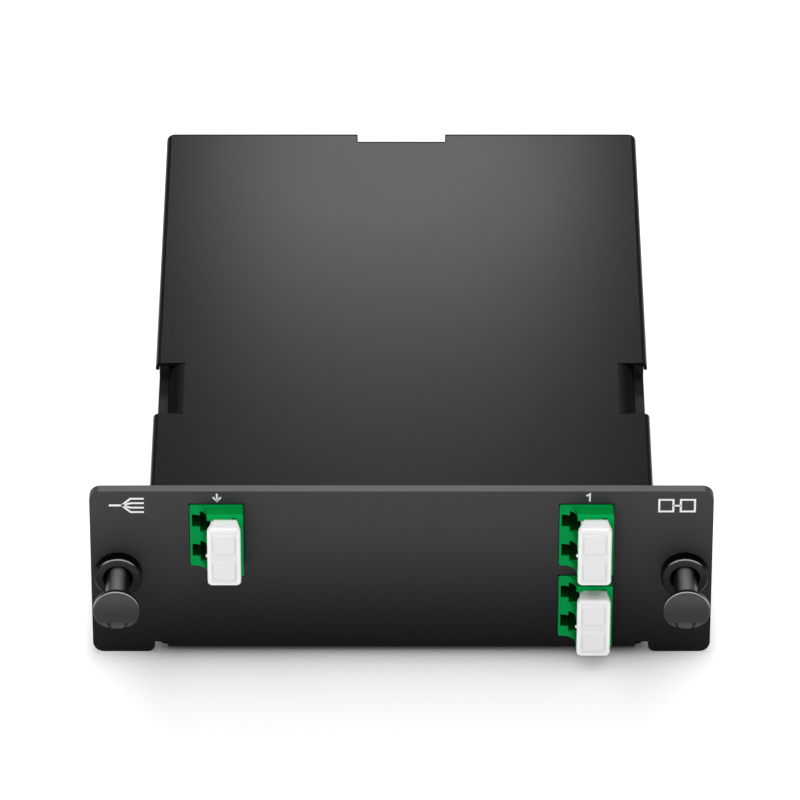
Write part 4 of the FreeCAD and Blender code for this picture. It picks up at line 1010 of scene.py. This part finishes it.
# %% [markdown]
# ## The printed marks
# White ink stands two hundredths of a millimetre proud of the panel. The marks are plain
# ones: a line that branches into four on the left, an arrow over the input port, a number
# over the output column and two joined squares on the right. Each mark fills a place that is
# given in the picture, in pixels, and is brought onto the panel's face by the camera's scale.
# Each stroke is a flat ribbon along a path, with its corners mitred. At a corner between
# directions d and e the ribbon's edge lies along n = (normal of d + normal of e) / (1 + d . e).

# %% Drawing the strokes
INK_RISE, INK_SUNK = 0.02, 0.002
PICTURE_MIDDLE, PICTURE_TOP = 401.0, 490.5
SCALE = FOCAL / DISTANCE
UP_ON_PICTURE = np.cos(ELEVATION)


def place_on_panel(left, top, right, foot):
    """The left, top, right and foot on the panel's face of a place in the picture.

    x = (pixel - middle) / scale, and z = top - (pixel - top pixel) / (scale * cos e).
    """
    x = [(pixel - PICTURE_MIDDLE) / SCALE for pixel in (left, right)]
    z = [PANEL_TOP - (pixel - PICTURE_TOP) / SCALE / UP_ON_PICTURE for pixel in (top, foot)]
    return x[0], z[0], x[1], z[1]


def ribbon_grid(path, width, closed=False):
    """A ribbon along a path in the panel's plane: four corners of its section per point."""
    path = np.array(path, dtype=float)
    if closed:
        arriving, leaving = path - np.roll(path, 1, axis=0), np.roll(path, -1, axis=0) - path
    else:
        steps = np.diff(path, axis=0)
        arriving = np.concatenate([steps[:1], steps])
        leaving = np.concatenate([steps, steps[-1:]])
    arriving = arriving / np.linalg.norm(arriving, axis=1, keepdims=True)
    leaving = leaving / np.linalg.norm(leaving, axis=1, keepdims=True)
    both = arriving + leaving
    normal = np.stack([-both[:, 1], both[:, 0]], -1)
    dots = np.einsum("ij,ij->i", arriving, leaving)
    edge = normal / (1 + dots)[:, None] * width / 2
    outer, inner = PANEL_FRONT - INK_RISE, PANEL_FRONT + INK_SUNK
    corners = []
    for side, y in ((1, outer), (-1, outer), (-1, inner), (1, inner)):
        flat = path + side * edge
        corners.append(np.column_stack([flat[:, 0], np.full(len(path), y), flat[:, 1]]))
    grid = np.stack(corners, axis=1)
    return np.concatenate([grid, grid[:1]]) if closed else grid


print("one millimetre covers", round(SCALE, 2), "pixels")

# %% [markdown]
# ## The four marks
# Every mark is a short function that gives its strokes, each a path, a width and whether the
# path is closed. The strokes of all four marks make one piece of ink.

# %% Printing the marks
BRANCH_PLACE = (108.0, 498.0, 143.0, 511.5)
ARROW_PLACE = (211.0, 493.0, 221.5, 500.5)
NUMBER_PLACE = (587.0, 493.3, 591.0, 500.8)
SQUARES_PLACE = (658.0, 498.2, 696.0, 511.8)
STEM_END, FORK_START, FORK_KNEE = 0.38, 0.36, 0.62
ARROW_HEAD, MARGIN = 0.85, 0.2


def branching_line():
    """A stem that ends in the middle, and four arms that fan out to even heights."""
    left, top, right, foot = place_on_panel(*BRANCH_PLACE)
    width, high, middle = right - left, top - foot, (top + foot) / 2
    strokes = [([(left, middle), (left + width * STEM_END, middle)], 0.42)]
    knee = left + width * FORK_KNEE
    for share in (0.0, 1 / 3, 2 / 3, 1.0):
        z = foot + high * share
        strokes.append(([(left + width * FORK_START, middle), (knee, z), (right, z)], 0.36))
    return strokes


def arrow_down():
    """A shaft down the middle and a head of two slanted lines."""
    left, top, right, foot = place_on_panel(*ARROW_PLACE)
    centre, wings = (left + right) / 2, foot + ARROW_HEAD
    head = [(left + MARGIN, wings), (centre, foot), (right - MARGIN, wings)]
    return [([(centre, top), (centre, foot + 0.1)], 0.34), (head, 0.34)]


def number_one():
    """A short upstroke and a long downstroke."""
    left, top, right, foot = place_on_panel(*NUMBER_PLACE)
    down = right - 0.25
    return [([(left - 0.15, top - 0.42), (down, top), (down, foot)], 0.32)]


def joined_squares():
    """Two squares as high as their place, and a line between them."""
    left, top, right, foot = place_on_panel(*SQUARES_PLACE)
    size, z = top - foot - 2 * MARGIN, foot + MARGIN
    first, second = left + MARGIN, right - size - MARGIN
    strokes = []
    for x in (first, second):
        square = [(x, z), (x + size, z), (x + size, z + size), (x, z + size)]
        strokes.append((square, 0.36, True))
    middle = (top + foot) / 2
    strokes.append(([(first + size, middle), (second, middle)], 0.36))
    return strokes


strokes = [*branching_line(), *arrow_down(), *number_one(), *joined_squares()]
skin("printed_marks", [ribbon_grid(*stroke) for stroke in strokes], "case", INK)
